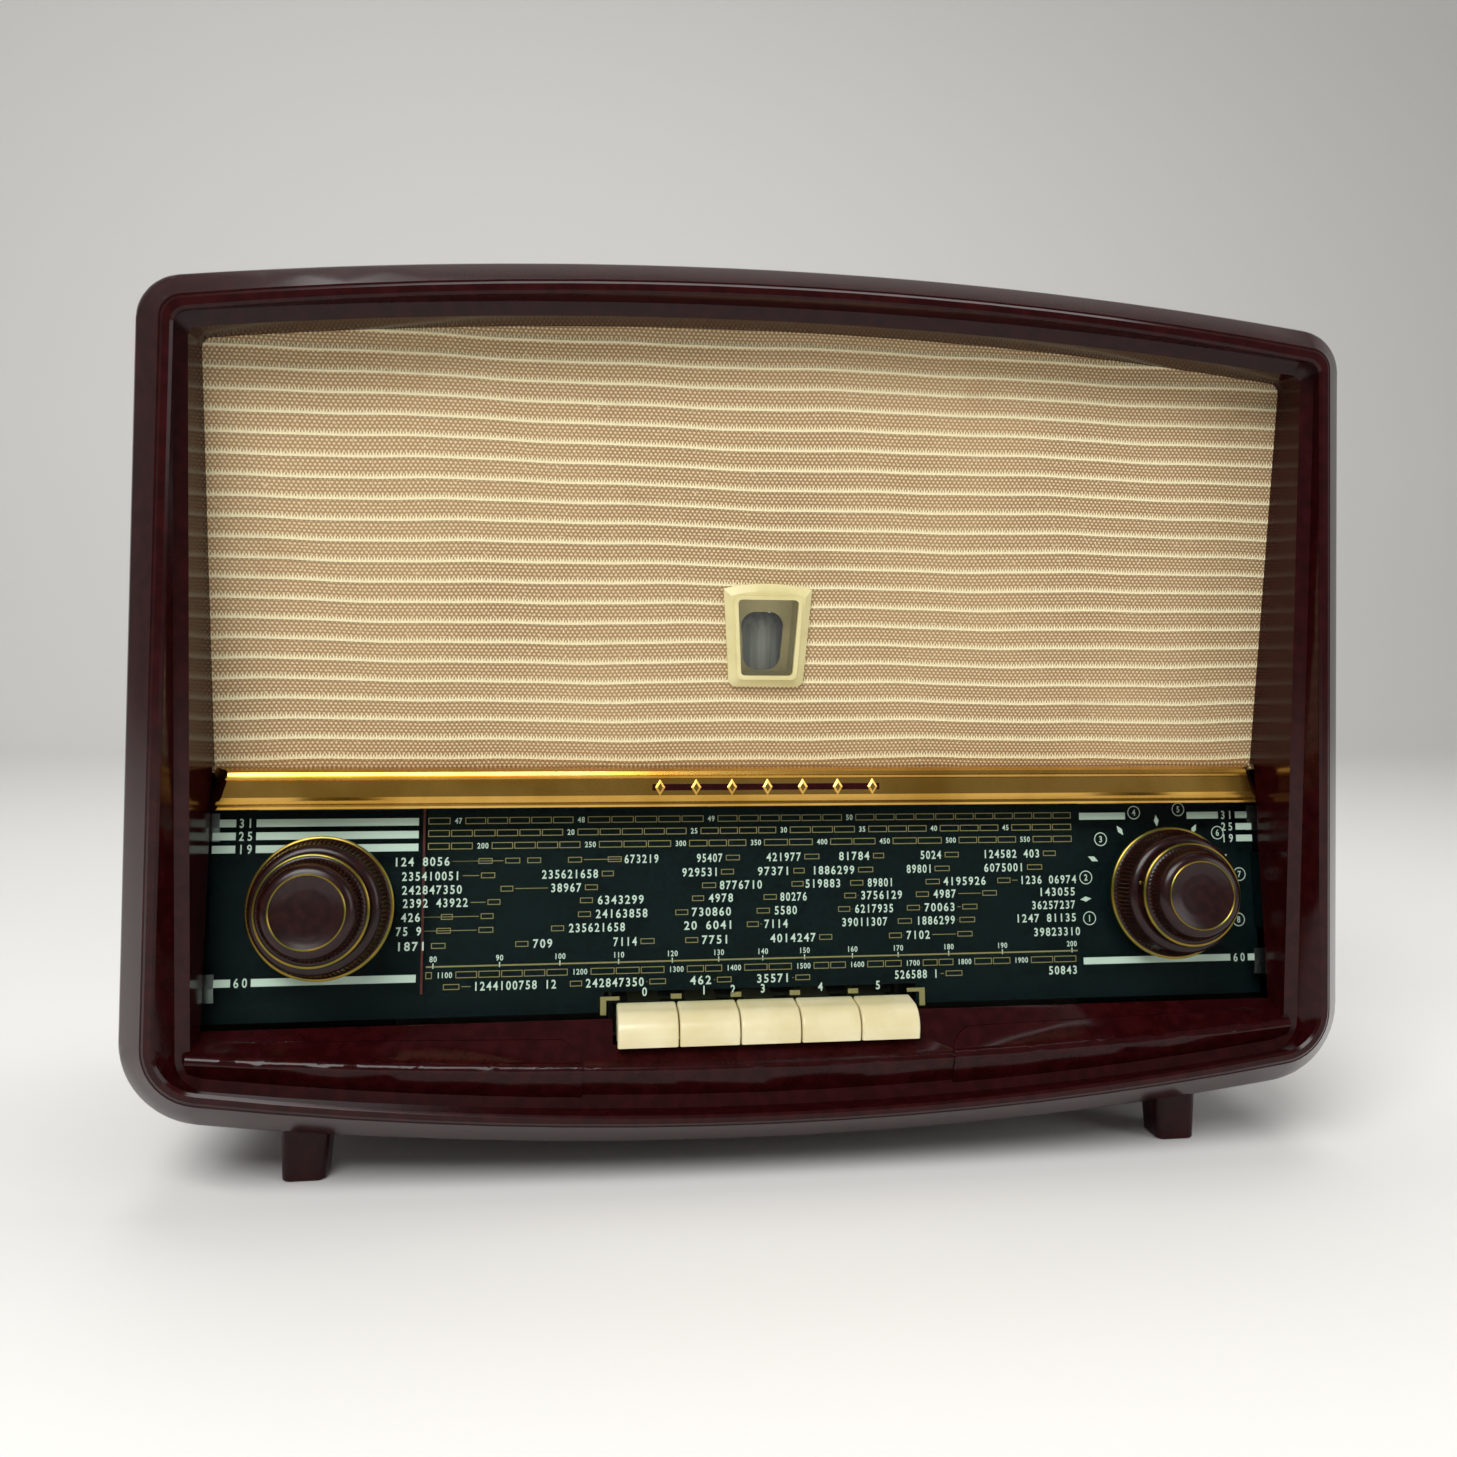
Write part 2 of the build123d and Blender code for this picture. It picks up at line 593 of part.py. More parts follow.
with BuildPart() as eye_bezel:
    extrude(keystone(eye_plane(0.1), 0.0, 3.0), amount=1.4)
    loft([keystone(eye_plane(1.5), 0.0, 3.0), keystone(eye_plane(3.2), 2.6, 2.0)], ruled=True)
    extrude(eye_window_shape(eye_plane(1.5), 24.4, 31.6, 2.6), amount=2.6)
    extrude(eye_window_shape(eye_plane(0.1), 24.6, 31.4, 2.0), amount=-13)
    extrude(eye_window_shape(eye_plane(-11), 21.4, 28.7, 1.6), amount=20, mode=Mode.SUBTRACT)
    extrude(eye_window_shape(eye_plane(-14), 15.6, 22.6, 5.6, EYE_DROP + 2.6), amount=20, mode=Mode.SUBTRACT)
eye_bezel.part.label = "eye_bezel"
export_step(eye_bezel.part, "parts/eye_bezel.step")

with BuildPart() as eye_window:
    extrude(eye_window_shape(eye_plane(1.0), 21.3, 28.6, 1.55), amount=1.2)
eye_window.part.label = "eye_window"
export_step(eye_window.part, "parts/eye_window.step")

EYE_TUBE_DEPTH = 58.5
EYE_TUBE_R = 10.5

with BuildPart() as eye_tube:
    with BuildSketch(Plane(origin=(0, at(EYE_TUBE_DEPTH), 0), x_dir=(1, 0, 0), z_dir=(0, -1, 0))) as half:
        with BuildLine():
            Polyline((0, 163.2), (EYE_TUBE_R, 163.2), (EYE_TUBE_R, 200))
            ThreePointArc((EYE_TUBE_R, 200), (7.6, 206.6), (2.0, 209.2))
            Polyline((2.0, 209.2), (1.2, 212.5), (0, 213.2), (0, 212.0))
            Line((0, 212.0), (1.0, 208.2))
            ThreePointArc((1.0, 208.2), (6.6, 205.6), (EYE_TUBE_R - 1, 200))
            Polyline((EYE_TUBE_R - 1, 200), (EYE_TUBE_R - 1, 164.4), (0, 164.4), (0, 163.2))
        make_face()
    revolve(half.sketch, axis=Axis((0, at(EYE_TUBE_DEPTH), 0), (0, 0, 1)))
eye_tube.part.label = "eye_tube"
export_step(eye_tube.part, "parts/eye_tube.step")

with BuildPart() as eye_target:
    block(-5.5, 5.5, EYE_TUBE_DEPTH - 3.0, EYE_TUBE_DEPTH - 2.4, 170, 198)
    with Locations((0, at(EYE_TUBE_DEPTH + 0.5), 184)):
        Cylinder(4.0, 28)
    with Locations((0, at(EYE_TUBE_DEPTH), 199), (0, at(EYE_TUBE_DEPTH), 169)):
        Cylinder(7.5, 2.0)
eye_target.part.label = "eye_target"
export_step(eye_target.part, "parts/eye_target.step")

with BuildPart() as eye_socket:
    with Locations((0, at(EYE_TUBE_DEPTH), 158.6)):
        Cylinder(11.0, 9.0)
    block(-8, 8, 44.8, 60, 153.2, 154.4)
    block(-8, 8, 44.8, 46, 153.2, 168)
    with BuildSketch(cloth_plane(20)) as slab:
        Rectangle(440, 400)
    extrude(slab.sketch, amount=-20 - CLOTH_THICK - 0.2 - BOARD_THICK, mode=Mode.SUBTRACT)
eye_socket.part.label = "eye_socket"
export_step(eye_socket.part, "parts/eye_socket.step")

# ---- loudspeaker: basket, magnet, cone ----
def speaker_plane(out):
    """Plane of the speaker's flange, on the back of the board."""
    base = cloth_plane(-CLOTH_THICK - 0.2 - BOARD_THICK)
    return base.shift_origin(base.from_local_coords((SPEAKER_X, SPEAKER_V, 0))).offset(out)


def speaker_ring(radii, start, mode=Mode.ADD):
    """Cone-shaped solid from the first radius to the second, going back from start."""
    front_r, back_r, deep = radii
    with BuildSketch(speaker_plane(-start)) as front:
        Circle(front_r)
    with BuildSketch(speaker_plane(-start - deep)) as back:
        Circle(back_r)
    loft([front.sketch, back.sketch], ruled=True, mode=mode)


with BuildPart() as speaker_frame:
    speaker_ring((74, 74, 1.6), 0)
    speaker_ring((66, 30, 42), 1.6)
    speaker_ring((64.4, 28.4, 42.1), 0, mode=Mode.SUBTRACT)
    speaker_ring((30, 30, 2.0), 43.6)
    speaker_ring((14, 14, 6.0), 40.6, mode=Mode.SUBTRACT)
    with BuildSketch(speaker_plane(-1.6)) as windows:
        with PolarLocations(50, 6):
            SlotOverall(34, 16, rotation=90)
    extrude(windows.sketch, amount=-60, mode=Mode.SUBTRACT)
    with BuildSketch(speaker_plane(1)) as screw_holes:
        with PolarLocations(70, 4, start_angle=45):
            Circle(2.0)
    extrude(screw_holes.sketch, amount=-4, mode=Mode.SUBTRACT)
speaker_frame.part.label = "speaker_frame"
export_step(speaker_frame.part, "parts/speaker_frame.step")

with BuildPart() as speaker_magnet:
    speaker_ring((28, 28, 22), 45.6)
    speaker_ring((12.6, 12.6, 12), 45.5, mode=Mode.SUBTRACT)
    speaker_ring((10.4, 10.4, 12), 45.5)
speaker_magnet.part.label = "speaker_magnet"
export_step(speaker_magnet.part, "parts/speaker_magnet.step")

with BuildPart() as speaker_cone:
    speaker_ring((60, 12.2, 37), 3.6)
    speaker_ring((59.3, 11.4, 37.2), 3.0, mode=Mode.SUBTRACT)
    speaker_ring((11.9, 11.9, 13.2), 39.6)
    speaker_ring((11.2, 11.2, 15), 38.6, mode=Mode.SUBTRACT)
    speaker_ring((14.7, 14.7, 0.8), 38.0)
speaker_cone.part.label = "speaker_cone"
export_step(speaker_cone.part, "parts/speaker_cone.step")

# ---- dial: dark backplate, mounting plate, lamps, rail and pointer ----
BACK_W = -10.0
PLATE_W = -26.0
PLATE_THICK = 1.5
RAIL_V = 52.5
RAIL_W = -33.0
RAIL_R = 1.5
CORD_W = -36.0
DRIVE_W = -45.0


def dial_rod(x, v, radius, w0, w1, mode=Mode.ADD):
    """Cylinder that stands on the dial at x and v, between two distances out of the glass."""
    with BuildSketch(dial_plane(0, w0)) as disc:
        with Locations((x, v)):
            Circle(radius)
    extrude(disc.sketch, amount=w1 - w0, mode=mode)


def dial_block(x0, x1, v0, v1, w0, w1, mode=Mode.ADD):
    """Box square to the dial."""
    with BuildSketch(dial_plane(0, w0)) as base:
        with Locations(((x0 + x1) / 2, (v0 + v1) / 2)):
            Rectangle(x1 - x0, v1 - v0)
    extrude(base.sketch, amount=w1 - w0, mode=mode)


def rail_shape(radius, x0=-160.0, x1=160.0, mode=Mode.ADD):
    """Cylinder along the pointer rail's line."""
    rail_y = at(GLASS_DEPTH) + RAIL_V * tilt_sin - RAIL_W * tilt_cos
    rail_z = KNOB_Z + RAIL_V * tilt_cos + RAIL_W * tilt_sin
    with BuildSketch(Plane.YZ.offset(x0)) as disc:
        with Locations((rail_y, rail_z)):
            Circle(radius)
    extrude(disc.sketch, amount=x1 - x0, mode=mode)


with BuildPart() as dial_backplate:
    dial_block(-203, 203, -41, 44, BACK_W - 1.0, BACK_W)
    dial_block(-60, 60, -42, -33.5, BACK_W - 2, BACK_W + 1, mode=Mode.SUBTRACT)
    for side in (-1, 1):
        dial_rod(side * KNOB_X, 0, 8.0, BACK_W - 2, BACK_W + 1, mode=Mode.SUBTRACT)
        # bent ends that stand on the back of the glass
        near, far = sorted((side * 202, side * 203))
        dial_block(near, far, -15, 15, BACK_W, -GLASS_THICK)
dial_backplate.part.label = "dial_backplate"
export_step(dial_backplate.part, "parts/dial_backplate.step")

with BuildPart() as mounting_plate:
    dial_block(-186, 186, -28, 42, PLATE_W - PLATE_THICK, PLATE_W)
    for side in (-1, 1):
        # bearing bush of the concentric shafts, lamp tongue and rail post
        dial_rod(side * KNOB_X, 0, 7.0, -31.5, -19)
        dial_rod(side * KNOB_X, 0, TUBE_R + FIT, -34, -15, mode=Mode.SUBTRACT)
        near, far = sorted((side * 176, side * 186))
        dial_block(near, far, 30, 31.2, PLATE_W, -16)
        near, far = sorted((side * 152, side * 156))
        dial_block(near, far, 38, 56, RAIL_W - 3, PLATE_W)
        dial_rod(side * IDLER_X, IDLER_V, 2.0, -40, PLATE_W)
        near, far = sorted((side * 122, side * 136))
        # flange that stands on the front of the chassis
        dial_block(near, far, -26, -24.5, -50, PLATE_W)
    rail_shape(RAIL_R, mode=Mode.SUBTRACT)
    block(-200, 200, CHASSIS_FRONT, CHASSIS_FRONT + 40, 20, 200, mode=Mode.SUBTRACT)
mounting_plate.part.label = "mounting_plate"
export_step(mounting_plate.part, "parts/mounting_plate.step")

LAMP = [
    (0, -25.9), (4.4, -25.9), (4.4, -18.5), (3.2, -18.0), (3.2, -14.6), (2.7, -13.0), (1.6, -12.1),
    (0, -11.8),
]

with BuildPart() as dial_lamps:
    for side in (-1, 1):
        turned(LAMP, side * 181, 36.5)
dial_lamps.part.label = "dial_lamps"
export_step(dial_lamps.part, "parts/dial_lamps.step")

with BuildPart() as pointer_rail:
    rail_shape(RAIL_R)
pointer_rail.part.label = "pointer_rail"
export_step(pointer_rail.part, "parts/pointer_rail.step")

with BuildPart() as dial_pointer:
    dial_block(POINTER_X - 0.4, POINTER_X + 0.4, -32, 46, -6.6, -5.8)
    dial_block(POINTER_X - 1.5, POINTER_X + 1.5, 45.2, 46.6, RAIL_W + 3, -5.8)
    dial_block(POINTER_X - 5, POINTER_X + 5, 45.2, 56, RAIL_W - 2.4, RAIL_W + 3)
    rail_shape(RAIL_R + FIT, POINTER_X - 6, POINTER_X + 6, mode=Mode.SUBTRACT)
dial_pointer.part.label = "dial_pointer"
export_step(dial_pointer.part, "parts/dial_pointer.step")


def pulley(x, v, groove_r, bore_r, w):
    """Grooved wheel of the cord drive."""
    rim = groove_r + 1.6
    profile = [(bore_r, w - 2.0), (rim, w - 2.0), (rim, w - 1.3), (groove_r, w - 0.9)]
    profile += [(groove_r, w + 0.9), (rim, w + 1.3), (rim, w + 2.0), (bore_r, w + 2.0)]
    turned(profile, x, v)


CORD_GAP = 0.3           # between a groove and the cord that runs in it
CORD_THICK = 0.8

with BuildPart() as idler_left:
    pulley(-IDLER_X, IDLER_V, IDLER_R - CORD_GAP, 2.0 + FIT, CORD_W)
idler_left.part.label = "idler_left"
export_step(idler_left.part, "parts/idler_left.step")

with BuildPart() as idler_right:
    pulley(IDLER_X, IDLER_V, IDLER_R - CORD_GAP, 2.0 + FIT, CORD_W)
idler_right.part.label = "idler_right"
export_step(idler_right.part, "parts/idler_right.step")


def cord_loop(wheels, w):
    """Endless cord round a set of wheels, given as (x, v, radius), in a plane parallel to the dial."""
    with BuildSketch(dial_plane(0, w - CORD_THICK / 2)) as loop:
        for x, v, radius in wheels:
            with Locations((x, v)):
                Circle(radius + CORD_THICK)
        make_hull()
        with BuildSketch(mode=Mode.PRIVATE) as inside:
            for x, v, radius in wheels:
                with Locations((x, v)):
                    Circle(radius)
            make_hull()
        add(inside.sketch, mode=Mode.SUBTRACT)
    extrude(loop.sketch, amount=CORD_THICK)


with BuildPart() as pointer_cord:
    wheels = [(-IDLER_X, IDLER_V, IDLER_R), (IDLER_X, IDLER_V, IDLER_R), (KNOB_X, 0, POINTER_PULLEY_R)]
    cord_loop(wheels, CORD_W)
pointer_cord.part.label = "pointer_cord"
export_step(pointer_cord.part, "parts/pointer_cord.step")

with BuildPart() as drive_cord:
    cord_loop([(GANG_X, GANG_V, DRUM_R), (KNOB_X, 0, SHAFT_R + CORD_GAP)], DRIVE_W)
drive_cord.part.label = "drive_cord"
export_step(drive_cord.part, "parts/drive_cord.step")

# ---- tuning capacitor: frame, fixed plates, turning plates and the drum ----
GANG_FRONT_W = -51.0
GANG_REAR_W = -86.0
GANG_HALF = 22.0
PLATE_COUNT = 5
PLATE_PITCH = 5.2

with BuildPart() as drive_drum:
    pulley(GANG_X, GANG_V, DRUM_R - CORD_GAP, SHAFT_R, DRIVE_W)
    with BuildSketch(dial_plane(0, DRIVE_W - 3)) as spokes:
        with Locations((GANG_X, GANG_V)):
            with PolarLocations(20, 5):
                Circle(6.5)
    extrude(spokes.sketch, amount=6, mode=Mode.SUBTRACT)
drive_drum.part.label = "drive_drum"
export_step(drive_drum.part, "parts/drive_drum.step")

with BuildPart() as gang_frame:
    low = GANG_V - GANG_HALF
    dial_block(GANG_X - GANG_HALF, GANG_X + GANG_HALF, low, low + 2, GANG_REAR_W, GANG_FRONT_W)
    for w in (GANG_FRONT_W, GANG_REAR_W):
        dial_block(GANG_X - GANG_HALF, GANG_X + GANG_HALF, low, GANG_V + GANG_HALF, w, w + 2)
    dial_rod(GANG_X, GANG_V, SHAFT_R + FIT, GANG_REAR_W - 3, GANG_FRONT_W + 4, mode=Mode.SUBTRACT)
    for x in (GANG_X - 16, GANG_X + 8):
        block(x, x + 8, 82, 112, CHASSIS_TOP_Z, CHASSIS_TOP_Z + 14)
gang_frame.part.label = "gang_frame"
export_step(gang_frame.part, "parts/gang_frame.step")

middle_w = (GANG_FRONT_W + GANG_REAR_W) / 2 + 1
plate_ws = [middle_w + PLATE_PITCH * (i - PLATE_COUNT / 2 + 0.5) for i in range(PLATE_COUNT)]

with BuildPart() as gang_rotor:
    dial_rod(GANG_X, GANG_V, SHAFT_R, GANG_REAR_W - 2, DRIVE_W + 4)
    for w in plate_ws:
        with BuildSketch(dial_plane(0, w)) as vane:
            with Locations((GANG_X, GANG_V)):
                Circle(17.5)
            with Locations((GANG_X + 20, GANG_V)):
                Rectangle(38, 44, mode=Mode.SUBTRACT)
        extrude(vane.sketch, amount=1.0)
gang_rotor.part.label = "gang_rotor"
export_step(gang_rotor.part, "parts/gang_rotor.step")

with BuildPart() as gang_stator:
    for w in plate_ws[:-1]:
        with BuildSketch(dial_plane(0, w + PLATE_PITCH / 2)) as vane:
            with Locations((GANG_X - 12.5, GANG_V)):
                Rectangle(15, 34)
            with Locations((GANG_X, GANG_V)):
                Circle(6, mode=Mode.SUBTRACT)
        extrude(vane.sketch, amount=1.0)
    first = plate_ws[0] + PLATE_PITCH / 2
    last = plate_ws[-2] + PLATE_PITCH / 2 + 1
    dial_block(GANG_X - 20.5, GANG_X - 19, GANG_V - 17, GANG_V + 17, first, last)
gang_stator.part.label = "gang_stator"
export_step(gang_stator.part, "parts/gang_stator.step")

# ---- concentric knobs, the same on both sides ----
OUTER_KNOB = [
    (TUBE_R, 3.0), (24.6, 3.0), (24.6, 5.3), (24.0, 5.6), (22.6, 14.6), (21.8, 15.9), (20.6, 16.5),
    (TUBE_R, 16.5),
]
OUTER_RING = [(24.6, 3.4), (25.5, 3.6), (25.5, 4.9), (24.9, 5.3), (24.6, 5.3)]
INNER_KNOB = [
    (SHAFT_R, 17.2), (18.7, 17.2), (18.7, 20.8), (17.6, 21.2), (16.4, 26.0), (15.6, 27.6), (14.0, 28.6),
    (12.9, 28.8), (12.9, 28.2), (12.3, 28.2), (12.3, 28.6), (8.0, 27.7), (0.0, 27.3), (0.0, 24.0),
    (SHAFT_R, 24.0),
]
INNER_RINGS = [
    [(18.7, 19.4), (19.5, 19.7), (19.5, 20.7), (19.0, 21.1), (18.7, 21.1)],
    [(12.3, 28.2), (12.9, 28.2), (12.9, 29.0), (12.6, 29.2), (12.3, 29.0)],
]


def inner_shaft(x, rear_w):
    """Solid shaft of an inner knob."""
    turned([(0, rear_w), (SHAFT_R, rear_w), (SHAFT_R, 24.0), (0, 24.0)], x)


def outer_shaft(x):
    """Tube shaft of an outer knob, running in the bush of the mounting plate."""
    bore = SHAFT_R + FIT
    turned([(bore, -33.0), (TUBE_R, -33.0), (TUBE_R, 16.0), (bore, 16.0)], x)


for side, inner_name, outer_name in ((-1, "volume", "tone"), (1, "tuning", "antenna")):
    x = side * KNOB_X
    with BuildPart() as inner_knob:
        turned(INNER_KNOB, x)
    inner_knob.part.label = f"{inner_name}_knob"
    export_step(inner_knob.part, f"parts/{inner_name}_knob.step")

    with BuildPart() as inner_rings:
        for ring in INNER_RINGS:
            turned(ring, x)
    inner_rings.part.label = f"{inner_name}_knob_rings"
    export_step(inner_rings.part, f"parts/{inner_name}_knob_rings.step")

    with BuildPart() as outer_knob:
        turned(OUTER_KNOB, x)
    outer_knob.part.label = f"{outer_name}_knob"
    export_step(outer_knob.part, f"parts/{outer_name}_knob.step")

    with BuildPart() as outer_ring:
        turned(OUTER_RING, x)
    outer_ring.part.label = f"{outer_name}_knob_ring"
    export_step(outer_ring.part, f"parts/{outer_name}_knob_ring.step")

    with BuildPart() as tube_shaft:
        outer_shaft(x)
    tube_shaft.part.label = f"{outer_name}_shaft"
    export_step(tube_shaft.part, f"parts/{outer_name}_shaft.step")

with BuildPart() as volume_shaft:
    inner_shaft(-KNOB_X, -42)
volume_shaft.part.label = "volume_shaft"
export_step(volume_shaft.part, "parts/volume_shaft.step")

with BuildPart() as tuning_shaft:
    inner_shaft(KNOB_X, -50)
    pulley(KNOB_X, 0, POINTER_PULLEY_R - CORD_GAP, SHAFT_R - 0.5, CORD_W)
tuning_shaft.part.label = "tuning_shaft"
export_step(tuning_shaft.part, "parts/tuning_shaft.step")

with BuildPart() as volume_tone_control:
    dial_rod(-KNOB_X, 0, 13.0, -56, -33.6)
    dial_block(-KNOB_X - 9, -KNOB_X + 9, -19, 0, -54, -36)
    dial_rod(-KNOB_X, 0, SHAFT_R + FIT, -44, -33, mode=Mode.SUBTRACT)
    for x in (-KNOB_X - 10, -KNOB_X + 8.4):
        dial_block(x, x + 1.6, -4, 4, -34, PLATE_W - PLATE_THICK)
volume_tone_control.part.label = "volume_tone_control"
export_step(volume_tone_control.part, "parts/volume_tone_control.step")

# ---- piano keys on one pivot ----
with BuildPart() as key_frame:
    inner = KEY_COUNT * KEY_PITCH / 2 + 0.6
    for side in (-1, 1):
        near, far = sorted((side * inner, side * (inner + 1.5)))
        block(near, far, 50, CHASSIS_FRONT, 44, 62)
    block(-inner - 1.5, inner + 1.5, CHASSIS_FRONT - 1.5, CHASSIS_FRONT, 44, 62)
    block(-inner - 1.5, inner + 1.5, 50, CHASSIS_FRONT, 42.8, 44)
    # wafer switch block under the keys
    block(-inner + 2, inner - 2, 51, 55, 44, 47.5)
    # the pivot rod, fixed in the frame's cheeks
    with BuildSketch(Plane.YZ.offset(-inner - 3)) as disc:
        with Locations((at(KEY_PIVOT_DEPTH), KEY_PIVOT_Z)):
            Circle(2.0)
    extrude(disc.sketch, amount=2 * inner + 6)
key_frame.part.label = "key_frame"
export_step(key_frame.part, "parts/key_frame.step")

KEY_FACE_DEPTH = 7.4
KEY_FOOT_Z = 51.2

for i in range(KEY_COUNT):
    centre_x = (i - (KEY_COUNT - 1) / 2) * KEY_PITCH
    with BuildPart() as key:
        with BuildSketch(Plane.YZ.offset(centre_x - KEY_WIDTH / 2)) as body:
            with BuildLine():
                Polyline(
                    (at(24), 58.0), (at(24), KEY_FOOT_Z + 1), (at(13.3), KEY_FOOT_Z + 1), (at(13.3), 55.2),
                    (at(9.0), KEY_FOOT_Z + 0.1), (at(KEY_FACE_DEPTH), KEY_FOOT_Z),
                )
                Line((at(KEY_FACE_DEPTH), KEY_FOOT_Z), (at(KEY_FACE_DEPTH - 0.3), 54.4))
                ThreePointArc((at(KEY_FACE_DEPTH - 0.3), 54.4), (at(9.6), 60.2), (at(15.0), 62.6))
                Line((at(15.0), 62.6), (at(24), 63.0))
                Line((at(24), 63.0), (at(24), 58.0))
            make_face()
        extrude(body.sketch, amount=KEY_WIDTH)
        for end in (0, -1):
            rim = key.faces().sort_by(Axis.X)[end].edges()
            front_rim = rim.filter_by(
                lambda e: e.center().Y < at(8) or e.center().Z > 56 and e.center().Y < at(22)
            )
            fillet(front_rim, 0.9)
        with BuildSketch(Plane.YZ.offset(centre_x - 6)) as arm:
            with BuildLine():
                Polyline(
                    (at(22), 52.5), (at(22), 57.5), (at(50), 58.5), (at(KEY_PIVOT_DEPTH), 59.5),
                    (at(KEY_PIVOT_DEPTH + 4), 56), (at(KEY_PIVOT_DEPTH + 3), 51.5), (at(50), 52), close=True,
                )
            make_face()
        extrude(arm.sketch, amount=12)
        with BuildSketch(Plane.YZ.offset(centre_x - 8)) as bore:
            with Locations((at(KEY_PIVOT_DEPTH), KEY_PIVOT_Z)):
                Circle(2.0 + FIT)
        extrude(bore.sketch, amount=16, mode=Mode.SUBTRACT)
    key.part.label = f"key_{i + 1}"
    export_step(key.part, f"parts/key_{i + 1}.step")

# ---- chassis: a steel pan, open below, on the cabinet's four pillars ----
SOCKET_XS = (-110.0, -91.0, -60.0, -41.0)
SELECTOR_X = 40.0
INLET_X = 110.0

with BuildPart() as chassis:
    block(-CHASSIS_HALF, CHASSIS_HALF, CHASSIS_FRONT, CHASSIS_REAR, CHASSIS_FOOT_Z, CHASSIS_TOP_Z)
    block(-CHASSIS_HALF + SHEET, CHASSIS_HALF - SHEET, CHASSIS_FRONT + SHEET, CHASSIS_REAR - SHEET,
          CHASSIS_FOOT_Z + SHEET, CHASSIS_TOP_Z - SHEET, mode=Mode.SUBTRACT)
    block(-CHASSIS_HALF + 28, CHASSIS_HALF - 28, CHASSIS_FRONT + 9, CHASSIS_REAR - 9,
          CHASSIS_FOOT_Z - 1, CHASSIS_FOOT_Z + 2, mode=Mode.SUBTRACT)
    for x, depth in CHASSIS_BOLTS:
        with Locations((x, at(depth), CHASSIS_FOOT_Z)):
            Cylinder(BOLT_HOLE_R, 6, mode=Mode.SUBTRACT)
    for x in SOCKET_XS:
        rod_y(x, REAR_PARTS_Z, 5.0, CHASSIS_REAR - 5, CHASSIS_REAR + 1, mode=Mode.SUBTRACT)
    rod_y(SELECTOR_X, REAR_PARTS_Z, 6.0, CHASSIS_REAR - 5, CHASSIS_REAR + 1, mode=Mode.SUBTRACT)
    rod_y(INLET_X, REAR_PARTS_Z, 7.0, CHASSIS_REAR - 5, CHASSIS_REAR + 1, mode=Mode.SUBTRACT)
chassis.part.label = "chassis"
export_step(chassis.part, "parts/chassis.step")

with BuildPart() as rear_sockets:
    block(-122, -29, CHASSIS_REAR, CHASSIS_REAR + 2.4, REAR_PARTS_Z - 9, REAR_PARTS_Z + 9)
    for x in SOCKET_XS:
        rod_y(x, REAR_PARTS_Z, 4.2, CHASSIS_REAR - 12, CHASSIS_REAR + 5)
        rod_y(x, REAR_PARTS_Z, 2.0, CHASSIS_REAR - 11, CHASSIS_REAR + 6, mode=Mode.SUBTRACT)
rear_sockets.part.label = "rear_sockets"
export_step(rear_sockets.part, "parts/rear_sockets.step")

with BuildPart() as voltage_selector:
    rod_y(SELECTOR_X, REAR_PARTS_Z, 6.0 - FIT, CHASSIS_REAR - 10, CHASSIS_REAR + 0.3)
    rod_y(SELECTOR_X, REAR_PARTS_Z, 10.0, CHASSIS_REAR + 0.3, CHASSIS_REAR + 6)
    block(SELECTOR_X - 7.5, SELECTOR_X + 7.5, CHASSIS_REAR + 4.4, CHASSIS_REAR + 7,
          REAR_PARTS_Z - 0.8, REAR_PARTS_Z + 0.8, mode=Mode.SUBTRACT)
voltage_selector.part.label = "voltage_selector"
export_step(voltage_selector.part, "parts/voltage_selector.step")

with BuildPart() as mains_inlet:
    rod_y(INLET_X, REAR_PARTS_Z, 7.0, CHASSIS_REAR - 5, CHASSIS_REAR + 12)
    rod_y(INLET_X, REAR_PARTS_Z, 10.0, CHASSIS_REAR, CHASSIS_REAR + 2.5)
    rod_y(INLET_X, REAR_PARTS_Z, 10.0, CHASSIS_REAR - 4, CHASSIS_REAR - SHEET)
    rod_y(INLET_X, REAR_PARTS_Z, 3.5, CHASSIS_REAR - 6, CHASSIS_REAR + 13, mode=Mode.SUBTRACT)
mains_inlet.part.label = "mains_inlet"
export_step(mains_inlet.part, "parts/mains_inlet.step")

# ---- valves, transformers and cans on the chassis ----
VALVES = [
    (-50, 92, 11.0, 62), (-12, 92, 11.0, 58), (26, 92, 11.0, 58), (6, 140, 10.5, 54), (38, 140, 11.0, 66),
]

with BuildPart() as valves:
    for x, depth, radius, high in VALVES:
        base = CHASSIS_TOP_Z
        with BuildSketch(Plane(origin=(x, at(depth), base), x_dir=(1, 0, 0), z_dir=(0, -1, 0))) as half:
            with BuildLine():
                Polyline((0, 0), (radius + 1.5, 0), (radius + 1.5, 5), (radius, 5), (radius, high - 9))
                ThreePointArc((radius, high - 9), (radius * 0.7, high - 3.6), (1.8, high - 2))
                Polyline((1.8, high - 2), (1.0, high), (0, high), (0, 0))
            make_face()
        revolve(half.sketch, axis=Axis((x, at(depth), base), (0, 0, 1)))
valves.part.label = "valves"
export_step(valves.part, "parts/valves.step")

with BuildPart() as coil_cans:
    for x, depth in ((70, 138), (-50, 138)):
        block(x - 12, x + 12, depth - 12, depth + 12, CHASSIS_TOP_Z, CHASSIS_TOP_Z + 48)
    fillet(coil_cans.edges().filter_by(Axis.Z), 3.0)
    with Locations((70, at(94), CHASSIS_TOP_Z + 4)):
        Cylinder(11, 8)
coil_cans.part.label = "coil_cans"
export_step(coil_cans.part, "parts/coil_cans.step")

TRANSFORMERS = [(-105, 118, 62, 52, 54, 20), (112, 150, 42, 24, 36, 14)]

